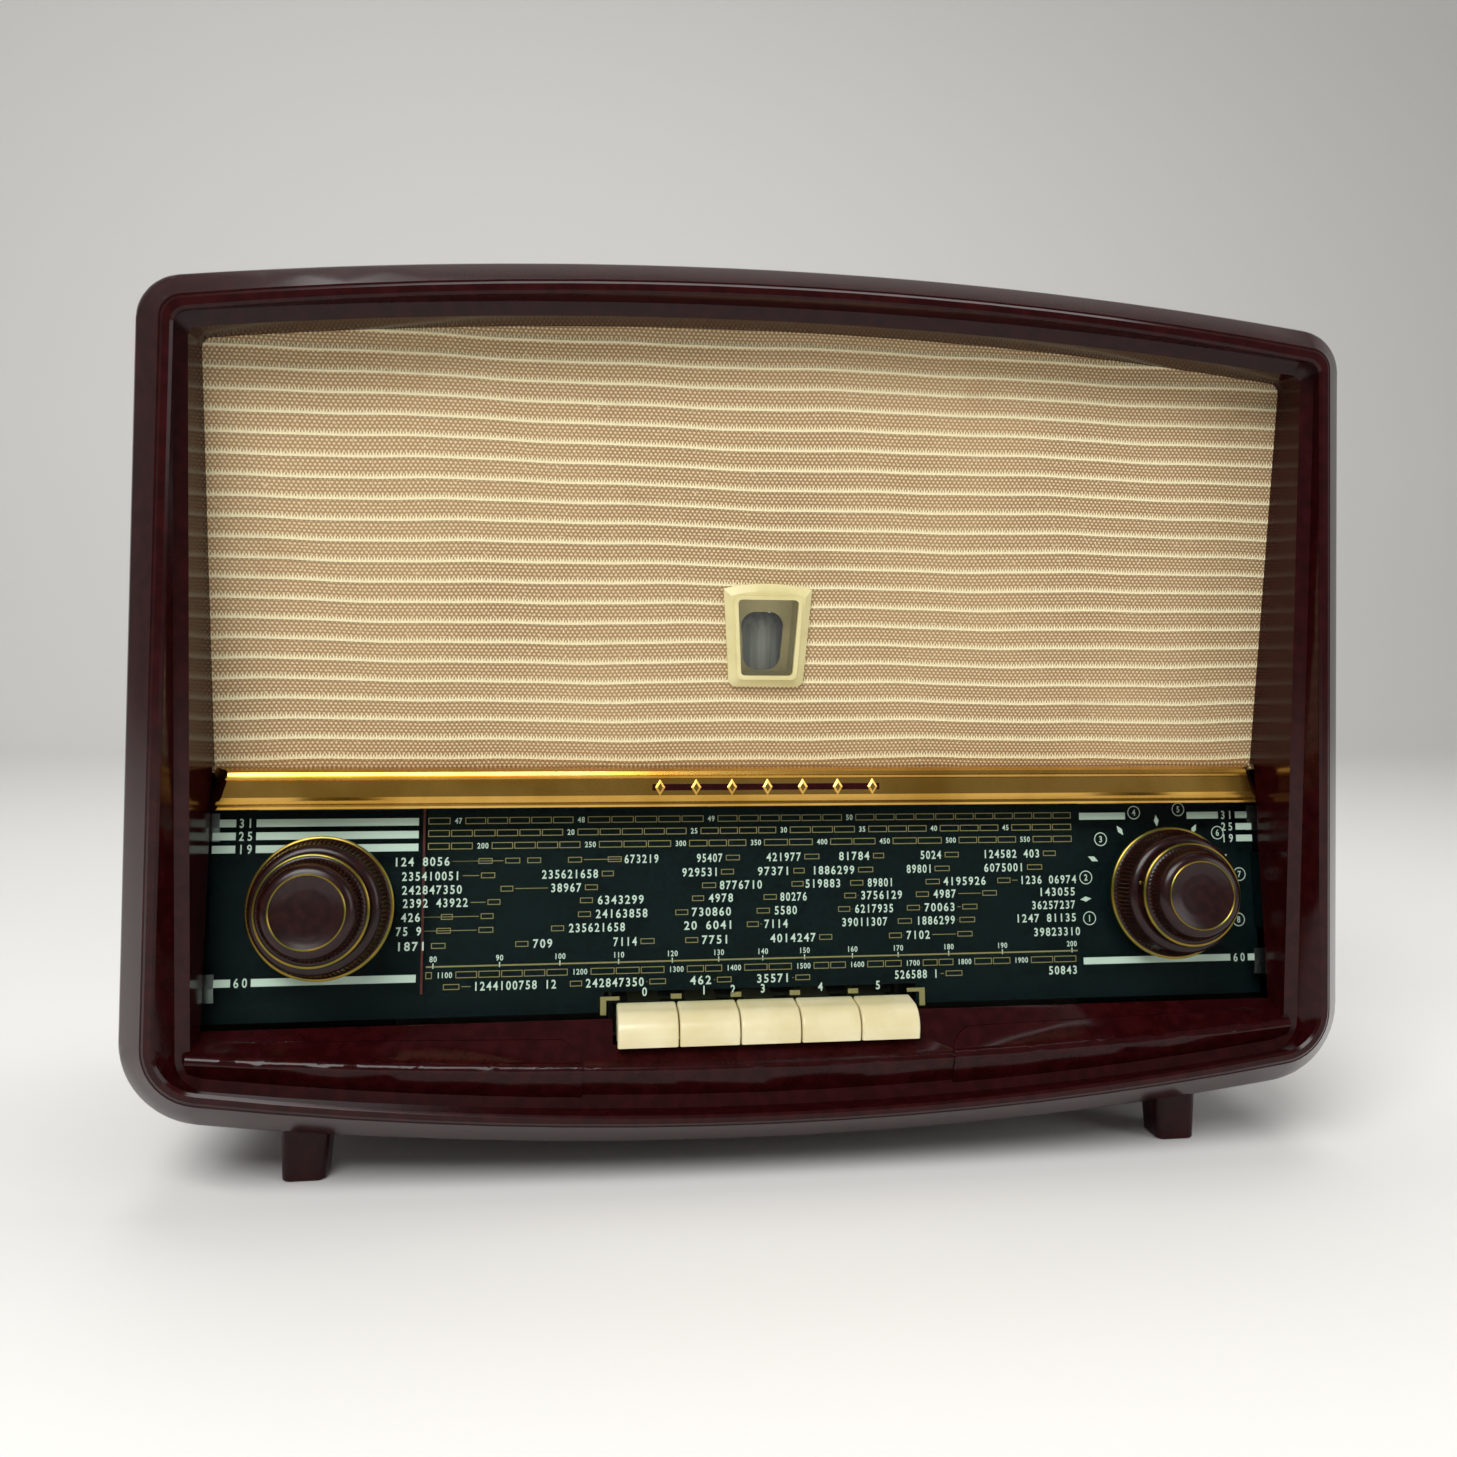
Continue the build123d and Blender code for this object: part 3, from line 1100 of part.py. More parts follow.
with BuildPart() as transformers:
    for x, depth, wide, high, core_deep, belly in TRANSFORMERS:
        half_core = core_deep / 4
        half_coil = half_core + belly / 2
        half_wide = wide / 2
        top = CHASSIS_TOP_Z + high
        block(x - half_wide, x + half_wide, depth - half_core, depth + half_core, CHASSIS_TOP_Z, top)
        block(
            x - half_wide + 10, x + half_wide - 10, depth - half_coil, depth + half_coil,
            CHASSIS_TOP_Z + 9, top - 9,
        )
transformers.part.label = "transformers"
export_step(transformers.part, "parts/transformers.step")

# ---- ferrite rod aerial on a turning pivot under the cabinet's top ----
ROD_Z = 303.0
ROD_DEPTH = 112.0
ROD_HALF = 58.0
ROD_R = 4.5
PIN_R = 2.5

with BuildPart() as rod_holder:
    with Locations((0, at(ROD_DEPTH), 323)):
        Box(24, 24, 9)
    with Locations((0, at(ROD_DEPTH), (318.5 + ROD_Z + 6) / 2)):
        Cylinder(PIN_R, 318.5 - ROD_Z - 6)
    add(cabinet.part, mode=Mode.SUBTRACT)
rod_holder.part.label = "rod_holder"
export_step(rod_holder.part, "parts/rod_holder.step")

with BuildPart() as ferrite_rod:
    with Locations((0, at(ROD_DEPTH), ROD_Z)):
        Cylinder(ROD_R, 2 * ROD_HALF, rotation=(0, 90, 0))
    for x in (-34, 34):
        with Locations((x, at(ROD_DEPTH), ROD_Z)):
            Cylinder(ROD_R + 2, 22, rotation=(0, 90, 0))
    with Locations((0, at(ROD_DEPTH), ROD_Z + 3)):
        Box(16, 14, 19)
    with Locations((0, at(ROD_DEPTH), ROD_Z + 10)):
        Cylinder(PIN_R + FIT, 8.4, mode=Mode.SUBTRACT)
ferrite_rod.part.label = "ferrite_rod"
export_step(ferrite_rod.part, "parts/ferrite_rod.step")

# ---- rear cover: pressed board with a hollow belly and vent slots ----
COVER_THICK = 2.5
BELLY = 15.0
BELLY_HALF = 150.0
BELLY_LOW_Z = 112.0
BELLY_HIGH_Z = 268.0

with BuildPart() as rear_cover:
    edge = WALL + REAR_INSET + 0.6
    sheet_plane = front_plane(COVER_DEPTH + COVER_THICK)
    extrude(shell_outline(sheet_plane, edge, edge, edge, 9.0, 23.0), amount=COVER_THICK)
    with BuildSketch(front_plane(COVER_DEPTH + BELLY + COVER_THICK)) as belly:
        with Locations((0, (BELLY_LOW_Z + BELLY_HIGH_Z) / 2)):
            RectangleRounded(2 * BELLY_HALF, BELLY_HIGH_Z - BELLY_LOW_Z, 14)
    extrude(belly.sketch, amount=BELLY)
    fillet(rear_cover.faces().sort_by(Axis.Y)[-1].edges(), 5.0)
    hollow_wide = 2 * (BELLY_HALF - COVER_THICK)
    hollow_high = BELLY_HIGH_Z - BELLY_LOW_Z - 2 * COVER_THICK
    with BuildSketch(front_plane(COVER_DEPTH + BELLY)) as hollow:
        with Locations((0, (BELLY_LOW_Z + BELLY_HIGH_Z) / 2)):
            RectangleRounded(hollow_wide, hollow_high, 11.5)
    extrude(hollow.sketch, amount=BELLY + 1, mode=Mode.SUBTRACT)
    with BuildSketch(front_plane(COVER_DEPTH + 40)) as slots:
        with Locations((0, (BELLY_LOW_Z + BELLY_HIGH_Z) / 2)):
            with GridLocations(24, 34, 11, 4):
                SlotOverall(24, 4.5, rotation=90)
        with Locations((0, 96)):
            with GridLocations(20, 10, 15, 1):
                SlotOverall(16, 4.0, rotation=90)
        with Locations((-75.5, REAR_PARTS_Z)):
            Rectangle(98, 24)
        with Locations((SELECTOR_X, REAR_PARTS_Z)):
            Circle(13)
        with Locations((INLET_X, REAR_PARTS_Z)):
            Circle(12)
        for side in (-1, 1):
            with Locations(*[(side * x, z) for x, z in COVER_SCREWS]):
                Circle(1.8)
    extrude(slots.sketch, amount=60, mode=Mode.SUBTRACT)
rear_cover.part.label = "rear_cover"
export_step(rear_cover.part, "parts/rear_cover.step")

with BuildPart() as rear_cover_screws:
    for side in (-1, 1):
        for x, z in COVER_SCREWS:
            screw_y(side * x, z, COVER_DEPTH + COVER_THICK, 11, head_r=4.0, head_high=2.4)
rear_cover_screws.part.label = "rear_cover_screws"
export_step(rear_cover_screws.part, "parts/rear_cover_screws.step")
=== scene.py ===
"""Bakelite table radio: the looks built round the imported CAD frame, as an add-on."""
import json
import math

import bpy
import numpy as np
from mathutils import Matrix, Vector


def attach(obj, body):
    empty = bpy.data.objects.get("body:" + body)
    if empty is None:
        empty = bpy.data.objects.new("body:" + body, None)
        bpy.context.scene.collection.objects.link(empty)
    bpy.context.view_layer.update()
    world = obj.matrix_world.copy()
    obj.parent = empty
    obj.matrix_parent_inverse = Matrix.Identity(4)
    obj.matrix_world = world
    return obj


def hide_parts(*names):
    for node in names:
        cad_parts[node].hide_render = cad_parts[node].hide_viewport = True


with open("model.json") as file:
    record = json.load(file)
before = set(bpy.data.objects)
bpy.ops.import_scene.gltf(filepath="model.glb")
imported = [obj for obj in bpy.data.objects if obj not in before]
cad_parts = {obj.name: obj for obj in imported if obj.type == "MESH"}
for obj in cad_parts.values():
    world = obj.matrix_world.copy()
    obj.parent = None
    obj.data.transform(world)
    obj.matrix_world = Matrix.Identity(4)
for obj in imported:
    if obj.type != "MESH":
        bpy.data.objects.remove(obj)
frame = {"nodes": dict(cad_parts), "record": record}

bl_info = {
    "name": "Table Radio",
    "version": (1, 0, 0),
    "blender": (4, 5, 0),
    "location": "View3D > Sidebar > Radio",
    "description": "Builds the visible surfaces of a bakelite table radio",
    "category": "Object",
}

ROOT = "cabinet_body"

# Frame of the sloping fascia, in millimetres, as the CAD has it.
FRONT_Y = -95.5
GLASS_TILT = math.radians(9.0)
GLASS_DEPTH = 26.3
CLOTH_TILT = math.radians(5.23)
CLOTH_DEPTH = 30.3
CLOTH_MID_Z = 225.0
KNOB_X = 160.6
KNOB_Z = 100.0
EYE_Z = 199.5
EYE_SLOT_HALF = (13.4, 16.7)

# Face of the gold bar, its inlay strip and its raised marks, in millimetres.
BAR_DEPTH = 25.9
BAR_SLOPE = 0.169
BAR_MID_Z = 142.75
INLAY_HALF = 43.0
INLAY_Z = (141.6, 143.9)
MARK_SPACING = 13.4
MARK_HALF = (1.9, 3.0)

# Knob profiles: radius and height over the glass, in millimetres; a ridged zone is (low, high).
OUTER_KNOB = [
    (4.5, 3.0), (24.6, 3.0), (24.6, 5.3), (24.1, 5.6), (22.7, 14.4), (22.2, 15.4), (21.3, 16.1),
    (20.3, 16.5), (19.0, 16.5), (4.5, 16.5),
]
INNER_KNOB = [
    (3.0, 17.2), (18.7, 17.2), (18.7, 20.8), (17.7, 21.2), (16.5, 25.6), (16.0, 26.8), (15.2, 27.8),
    (14.1, 28.5), (12.9, 28.8), (12.9, 28.2), (12.3, 28.2), (12.3, 28.6), (10.5, 28.15), (8.0, 27.7),
    (4.0, 27.4), (0.03, 27.3), (0.03, 24.0), (3.0, 24.0),
]
OUTER_RIDGED = (5.6, 14.6)
INNER_RIDGED = (21.2, 25.8)
STEPS_PER_RIDGE = 6
INDEX_DOT_RADIUS = 19.0
INDEX_DOT_ANGLE = 166.0

# Weave of the speaker cloth, in millimetres.
RIB_SPACING = 1.05
LOOP_SPACING = 1.65
LOOP_ROWS = 6           # between two cords

# Printing, in millimetres: height of the scale figures, and the ink's place on the back of the 3 mm pane.
SMALL_FIGURE = 2.1
INK_OUT = -3.06

# Camera: place in metres; yaw, pitch and roll in degrees; lens shift as a share of the picture's width.
CAMERA_PLACE = (-0.07311, FRONT_Y / 1000 - 0.45028, 0.19994)
CAMERA_TURN = (8.532, -1.946, 0.707)
CAMERA_SHIFT = (-0.0245, -0.0348)


# ---------------------------------------------------------------- geometry

def dial_points(x, v, w):
    """Points at x across, v up the glass and w out of it, mm to metres:
    (x, FRONT_Y + 26.3 + v sin t - w cos t, 100 + v cos t + w sin t), t = 9 degrees."""
    x, v, w = np.broadcast_arrays(np.asarray(x, float), np.asarray(v, float), np.asarray(w, float))
    y = FRONT_Y + GLASS_DEPTH + v * math.sin(GLASS_TILT) - w * math.cos(GLASS_TILT)
    z = KNOB_Z + v * math.cos(GLASS_TILT) + w * math.sin(GLASS_TILT)
    return np.stack([x, y, z], axis=-1) / 1000


def cloth_points(x, v, w):
    """Points at x across, v up the cloth from z = 225 mm and w out of it, mm to metres:
    (x, FRONT_Y + 30.3 - v sin t - w cos t, 225 + v cos t - w sin t), t = 5.23 degrees."""
    x, v, w = np.broadcast_arrays(np.asarray(x, float), np.asarray(v, float), np.asarray(w, float))
    y = FRONT_Y + CLOTH_DEPTH - v * math.sin(CLOTH_TILT) - w * math.cos(CLOTH_TILT)
    z = CLOTH_MID_Z + v * math.cos(CLOTH_TILT) - w * math.sin(CLOTH_TILT)
    return np.stack([x, y, z], axis=-1) / 1000


def mesh_object(name, verts, faces, smooth=True):
    """An object at the origin with these vertices and faces."""
    mesh = bpy.data.meshes.new(name)
    mesh.from_pydata(np.asarray(verts, float), [], np.asarray(faces, int))
    mesh.update()
    if smooth:
        mesh.shade_smooth()
    obj = bpy.data.objects.new(name, mesh)
    bpy.context.scene.collection.objects.link(obj)
    return obj


def grid_faces(nu, nv, closed_u, closed_v):
    """Quads of a grid whose vertex (i, j) has index i * nv + j."""
    i, j = np.meshgrid(
        np.arange(nu if closed_u else nu - 1), np.arange(nv if closed_v else nv - 1), indexing="ij"
    )
    i1, j1 = (i + 1) % nu, (j + 1) % nv
    return np.stack([i * nv + j, i1 * nv + j, i1 * nv + j1, i * nv + j1], axis=-1).reshape(-1, 4)


def outward(verts, quads):
    """The quads turned so that the closed surface has a positive volume."""
    a, b, c, d = (verts[quads[:, k]] for k in range(4))
    volume = np.sum(a * np.cross(b, c)) + np.sum(a * np.cross(c, d))
    return quads if volume > 0 else quads[:, ::-1]


def lathe(name, profile, x, knurl=None, segments=180):
    """Solid of revolution on the dial at x: P(a, s) = axis + h(s) n + r(a, s) (cos a e1 + sin a e2),
    r = r(s) - depth * window(h) * (1 + cos(count * a)) / 2 for a knurl (count, depth, low, high)."""
    points = []
    for (r0, h0), (r1, h1) in zip(profile, profile[1:] + profile[:1]):
        steps = max(1, int(math.ceil(math.hypot(r1 - r0, h1 - h0) / 0.9)))
        share = np.arange(steps)[:, None] / steps
        points.append(np.array([[r0, h0]]) + share * np.array([[r1 - r0, h1 - h0]]))
    r, h = np.concatenate(points).T
    a = np.arange(segments)[:, None] * (2 * math.pi / segments)
    radius = np.repeat(r[None, :], segments, axis=0)
    if knurl:
        count, depth, low, high = knurl
        window = np.clip((h - low) / 0.5, 0, 1) * np.clip((high - h) / 0.5, 0, 1)
        window = window * (r > r.max() * 0.8)
        radius = radius - depth * window[None, :] * (1 + np.cos(count * a)) / 2
    points = dial_points(x + radius * np.cos(a), radius * np.sin(a), h[None, :])
    verts = points.reshape(-1, 3)
    return mesh_object(name, verts, outward(verts, grid_faces(segments, len(r), True, True)))


def smooth_copy(node, body, slot, name, degrees=32):
    """A copy of a CAD node with its doubles merged and its curved faces shaded smooth."""
    source = frame["nodes"][node].data
    count = len(source.vertices)
    co = np.zeros(count * 3)
    source.vertices.foreach_get("co", co)
    co = co.reshape(-1, 3)
    source.calc_loop_triangles()
    tris = np.zeros(len(source.loop_triangles) * 3, int)
    source.loop_triangles.foreach_get("vertices", tris)
    unique, index = np.unique(np.round(co, 6), axis=0, return_inverse=True)
    tris = index.reshape(-1)[tris.reshape(-1, 3)]
    keep = (tris[:, 0] != tris[:, 1]) & (tris[:, 1] != tris[:, 2]) & (tris[:, 0] != tris[:, 2])
    obj = mesh_object(name, unique, tris[keep])
    obj.data.set_sharp_from_angle(angle=math.radians(degrees))
    return adopt(obj, body, slot, node)


def adopt(obj, body, slot, *nodes):
    """The piece rides on a body and stands for CAD nodes; the slot argument is not used."""
    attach(obj, body)
    if nodes:
        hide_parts(*nodes)
    return obj


# ---------------------------------------------------------------- shading

def linear(code):
    """Linear RGBA of an sRGB hex colour."""
    rgb = [int(code[k:k + 2], 16) / 255 for k in (1, 3, 5)]
    return tuple(c / 12.92 if c <= 0.04045 else ((c + 0.055) / 1.055) ** 2.4 for c in rgb) + (1.0,)


def add(tree, kind, inputs=None, **settings):
    """A new node with settings and inputs; an input is a value or another node's output."""
    node = tree.nodes.new(kind)
    for key, value in settings.items():
        setattr(node, key, value)
    for key, value in (inputs or {}).items():
        if isinstance(value, bpy.types.NodeSocket):
            tree.links.new(value, node.inputs[key])
        else:
            node.inputs[key].default_value = value
    return node


def calc(tree, operation, *values):
    """Output of a math node."""
    return add(tree, "ShaderNodeMath", dict(enumerate(values)), operation=operation).outputs[0]


def ramp(tree, value, low, high):
    """Smooth step of a value from low to high."""
    node = add(
        tree, "ShaderNodeMapRange", {"Value": value, "From Min": low, "From Max": high},
        interpolation_type="SMOOTHSTEP",
    )
    return node.outputs["Result"]


def blend(tree, share, first, second):
    """Colour mixed from first to second."""
    node = add(tree, "ShaderNodeMix", {"Factor": share}, data_type="RGBA")
    for slot, colour in ((6, first), (7, second)):
        if isinstance(colour, bpy.types.NodeSocket):
            tree.links.new(colour, node.inputs[slot])
        else:
            node.inputs[slot].default_value = colour
    return node.outputs[2]


def noise(tree, millimetres, detail=3.0, stretch=(1, 1, 1)):
    """Noise in object space whose features measure about this many millimetres."""
    coord = add(tree, "ShaderNodeTexCoord").outputs["Object"]
    placed = add(tree, "ShaderNodeMapping", {"Vector": coord, "Scale": stretch}).outputs[0]
    node = add(tree, "ShaderNodeTexNoise", {"Vector": placed, "Scale": 1000 / millimetres, "Detail": detail})
    return node.outputs[0]


def new_material(name):
    """An empty material, its tree and its output node."""
    material = bpy.data.materials.new(name)
    material.use_nodes = True
    material.node_tree.nodes.clear()
    return material, material.node_tree, add(material.node_tree, "ShaderNodeOutputMaterial")


def plain(
    name, code, roughness, metallic=0.0, coat=0.0, second=None, grain=8.0, bump=0.0,
    stretch=(1, 1, 1), gleam=0.5,
):
    """A solid material, mottled towards a second colour in grains of some millimetres."""
    material, tree, output = new_material(name)
    colour = linear(code)
    values = {
        "Roughness": roughness, "Metallic": metallic, "Coat Weight": coat, "Coat Roughness": 0.06,
        "Specular IOR Level": gleam,
    }
    if second:
        spread = noise(tree, grain, 4.0, stretch)
        colour = blend(tree, ramp(tree, spread, 0.35, 0.68), colour, linear(second))
        if bump:
            values["Normal"] = add(
                tree, "ShaderNodeBump", {"Height": spread, "Distance": bump / 1000, "Strength": 1.0}
            ).outputs[0]
    shader = add(tree, "ShaderNodeBsdfPrincipled", {"Base Color": colour, **values})
    tree.links.new(shader.outputs[0], output.inputs["Surface"])
    return material


def clear(name, tint, haze=0.0, index=1.5, roughness=0.02):
    """Thin clear material: passes light straight through with a tint and reflects by angle."""
    material, tree, output = new_material(name)
    glass = add(tree, "ShaderNodeBsdfTransparent", {"Color": linear(tint)}).outputs[0]
    if haze:
        body = add(tree, "ShaderNodeBsdfDiffuse", {"Color": linear("#c3ccd2")}).outputs[0]
        streak = ramp(tree, noise(tree, 2.6, 2.0, (1, 1, 0.06)), 0.35, 0.75)
        share = calc(tree, "MULTIPLY_ADD", streak, 0.45 * haze, 0.55 * haze)
        glass = add(tree, "ShaderNodeMixShader", {0: share, 1: glass, 2: body}).outputs[0]
    gloss = add(tree, "ShaderNodeBsdfGlossy", {"Roughness": roughness}).outputs[0]
    edge = add(tree, "ShaderNodeFresnel", {"IOR": index}).outputs[0]
    mixed = add(tree, "ShaderNodeMixShader", {0: edge, 1: glass, 2: gloss}).outputs[0]
    tree.links.new(mixed, output.inputs["Surface"])
    return material


def cloth_material(pitch):
    """Woven speaker cloth: cream cords at a pitch, rows of staggered loops between them, metallic flecks."""
    material, tree, output = new_material("woven_speaker_cloth")
    uv = add(tree, "ShaderNodeUVMap", uv_map="weave").outputs[0]
    parts = add(tree, "ShaderNodeSeparateXYZ", {0: uv})
    across = calc(tree, "MULTIPLY", parts.outputs[0], 1000.0)
    up = calc(tree, "MULTIPLY", parts.outputs[1], 1000.0)
    # position between two cords, 0 and 1 at the cords
    phase = calc(tree, "FRACT", calc(tree, "DIVIDE", up, pitch))
    edge = calc(tree, "ABSOLUTE", calc(tree, "SUBTRACT", phase, 0.5))
    cord = ramp(tree, edge, 0.41, 0.455)
    # short ribs that stand on each cord
    rib_phase = calc(tree, "FRACT", calc(tree, "DIVIDE", across, RIB_SPACING))
    rib = calc(tree, "ABSOLUTE", calc(tree, "SUBTRACT", rib_phase, 0.5))
    rib_zone = calc(tree, "MULTIPLY", ramp(tree, phase, 0.03, 0.06), ramp(tree, phase, 0.22, 0.17))
    ribs = calc(tree, "MULTIPLY", rib_zone, ramp(tree, rib, 0.34, 0.2))
    # staggered loops
    rows = calc(tree, "DIVIDE", up, pitch / LOOP_ROWS)
    shift = calc(tree, "MULTIPLY", calc(tree, "MODULO", calc(tree, "FLOOR", rows), 2.0), 0.5)
    loop_phase = calc(tree, "FRACT", calc(tree, "ADD", calc(tree, "DIVIDE", across, LOOP_SPACING), shift))
    dx = calc(tree, "SUBTRACT", loop_phase, 0.5)
    dy = calc(tree, "SUBTRACT", calc(tree, "FRACT", rows), 0.5)
    square_x = calc(tree, "MULTIPLY", dx, calc(tree, "MULTIPLY", dx, 1.6))
    square_y = calc(tree, "MULTIPLY", dy, dy)
    distance = calc(tree, "SQRT", calc(tree, "ADD", square_x, square_y))
    loops = ramp(tree, distance, 0.46, 0.22)
    ground = blend(tree, ramp(tree, noise(tree, 90.0), 0.3, 0.7), linear("#977850"), linear("#a8895f"))
    colour = blend(tree, loops, ground, linear("#e6cfa6"))
    fleck = ramp(tree, noise(tree, 0.7, 1.0), 0.66, 0.74)
    colour = blend(tree, calc(tree, "MULTIPLY", fleck, 0.5), colour, linear("#fff0c8"))
    bright = calc(tree, "MAXIMUM", cord, ribs)
    colour = blend(tree, bright, colour, linear("#f3e5b9"))
    # faint brown ageing
    stain = calc(tree, "MULTIPLY", ramp(tree, noise(tree, 34.0, 6.0), 0.6, 0.78), 0.3)
    colour = blend(tree, stain, colour, linear("#8a5f33"))
    height = calc(tree, "ADD", calc(tree, "MULTIPLY", loops, 0.6), bright)
    bump = add(tree, "ShaderNodeBump", {"Height": height, "Distance": 0.0005, "Strength": 0.8}).outputs[0]
    shader = add(
        tree, "ShaderNodeBsdfPrincipled",
        {"Base Color": colour, "Roughness": 0.72, "Sheen Weight": 0.15, "Normal": bump},
    )
    tree.links.new(shader.outputs[0], output.inputs["Surface"])
    return material


def materials():
    """Every material by record slot, made once."""
    made = bpy.data.materials
    if "pressed_bakelite_maroon" in made:
        return {m["slot"]: m for m in made if "slot" in m}
    table = {
        # maroon phenolic, compression moulded and polished: deep colour, faint mottling, sharp highlights
        "bakelite": plain(
            "pressed_bakelite_maroon", "#220405", 0.16, second="#2d080a", grain=5.0, gleam=0.21
        ),
        "knob_bakelite": plain(
            "pressed_bakelite_knob", "#1a0606", 0.25, second="#260d0c", grain=3.0, gleam=0.32
        ),
        # anodised aluminium extrusion: warm metal with soft stretched reflections
        "gold_anodised": plain("gold_anodised_extrusion", "#d2a654", 0.22, 1.0, second="#b98d3c", grain=30.0),
        # turned brass, tarnished
        "brass_ring": plain("turned_brass_tarnished", "#8c7430", 0.3, 1.0, second="#6c6a30", grain=9.0),
        "brass_wheels": plain("turned_brass", "#b8913f", 0.3, 1.0),
        "lamp_brass": plain("stamped_brass", "#c2a458", 0.32, 1.0),
        # urea plastic, injection moulded: yellowed cream with a wide soft highlight
        "ivory_plastic": plain("moulded_ivory_urea", "#e6dbb2", 0.24, coat=0.2, second="#dccf9f", grain=18.0),
        "cream_plastic": plain("moulded_cream_plastic", "#ded39c", 0.34, second="#d0c48a", grain=14.0),
        "black_moulding": plain("moulded_black_phenolic", "#171313", 0.45),
        # sheet steel, zinc plated: grey with dull patches
        "zinc_steel": plain("zinc_plated_steel", "#a4a59a", 0.42, 0.9, second="#8f9088", grain=12.0),
        "spring_steel": plain("drawn_steel", "#9a9a9a", 0.3, 1.0),
        "chassis_steel": plain("passivated_steel_sheet", "#96988c", 0.45, 0.85, second="#84867c", grain=20.0),
        "speaker_steel": plain("pressed_speaker_steel", "#86867f", 0.45, 0.85),
        "can_aluminium": plain("drawn_aluminium_can", "#b9bbbc", 0.34, 1.0),
        "magnet_iron": plain("painted_magnet_iron", "#55565a", 0.5, 0.3),
        "transformer_iron": plain("varnished_laminations", "#3d3731", 0.55, 0.3, second="#57493a", grain=6.0),
        # pressed fibre board, pores about 1 mm
        "hardboard": plain("pressed_hardboard", "#5a3c28", 0.78, second="#4a3020", grain=1.4, bump=0.25),
        "board_wood": plain(
            "birch_plywood", "#a8845a", 0.7, second="#8d6b45", grain=5.0, stretch=(0.15, 1, 1)
        ),
        "paper_cone": plain("pressed_cone_paper", "#2b2826", 0.9, second="#35312d", grain=2.0, bump=0.2),
        "dial_cord": plain("braided_dial_cord", "#c9c0a4", 0.85),
        "dial_green": plain(
            "green_black_enamel", "#05191a", 0.6, second="#041112", grain=1.8, bump=0.05, gleam=0.15
        ),
        "eye_metal": plain("dark_nickel", "#343a3e", 0.35, 0.7),
        "pointer_metal": plain("painted_pointer", "#641c14", 0.4),
        "inlet_rubber": plain("moulded_rubber", "#141313", 0.7),
        "ferrite": plain("sintered_ferrite", "#2a2726", 0.6, 0.1),
        # blown and drawn clear parts: nearly unseen, with reflections at a glance
        "dial_glass": clear("polished_dial_glass", "#f4faf8", index=1.13),
        "clear_plastic": clear("moulded_clear_window", "#fcfcf8", index=1.4, roughness=0.05),
        "tube_glass": clear("blown_tube_glass", "#c9d0d2", haze=0.9),
    }
    for slot, material in table.items():
        material["slot"] = slot
    return table


def paint(obj, slot):
    """Gives an object the material of a record slot."""
    obj.data.materials.clear()
    obj.data.materials.append(materials()[slot])
    return obj


# ---------------------------------------------------------------- printing on the glass

def glyphs():
    """Triangles of the ten digits, scaled so that 0 is one unit wide and one unit high."""
    table = {}
    for digit in "0123456789":
        curve = bpy.data.curves.new("digit", "FONT")
        curve.body = digit
        curve.offset = 0.018
        curve.resolution_u = 3
        obj = bpy.data.objects.new("digit", curve)
        bpy.context.scene.collection.objects.link(obj)
        bpy.context.view_layer.update()
        mesh = bpy.data.meshes.new_from_object(obj.evaluated_get(bpy.context.evaluated_depsgraph_get()))
        co = np.zeros(len(mesh.vertices) * 3)
        mesh.vertices.foreach_get("co", co)
        mesh.calc_loop_triangles()
        tris = np.zeros(len(mesh.loop_triangles) * 3, int)
        mesh.loop_triangles.foreach_get("vertices", tris)
        table[digit] = (co.reshape(-1, 3)[:, :2], tris.reshape(-1, 3))
        bpy.data.objects.remove(obj)
        bpy.data.curves.remove(curve)
        bpy.data.meshes.remove(mesh)
    zero = table["0"][0]
    size = zero.max(0) - zero.min(0)
    low = zero[:, 1].min()
    return {
        digit: ((points - [(points[:, 0].max() + points[:, 0].min()) / 2, low]) / size, tris)
        for digit, (points, tris) in table.items()
    }


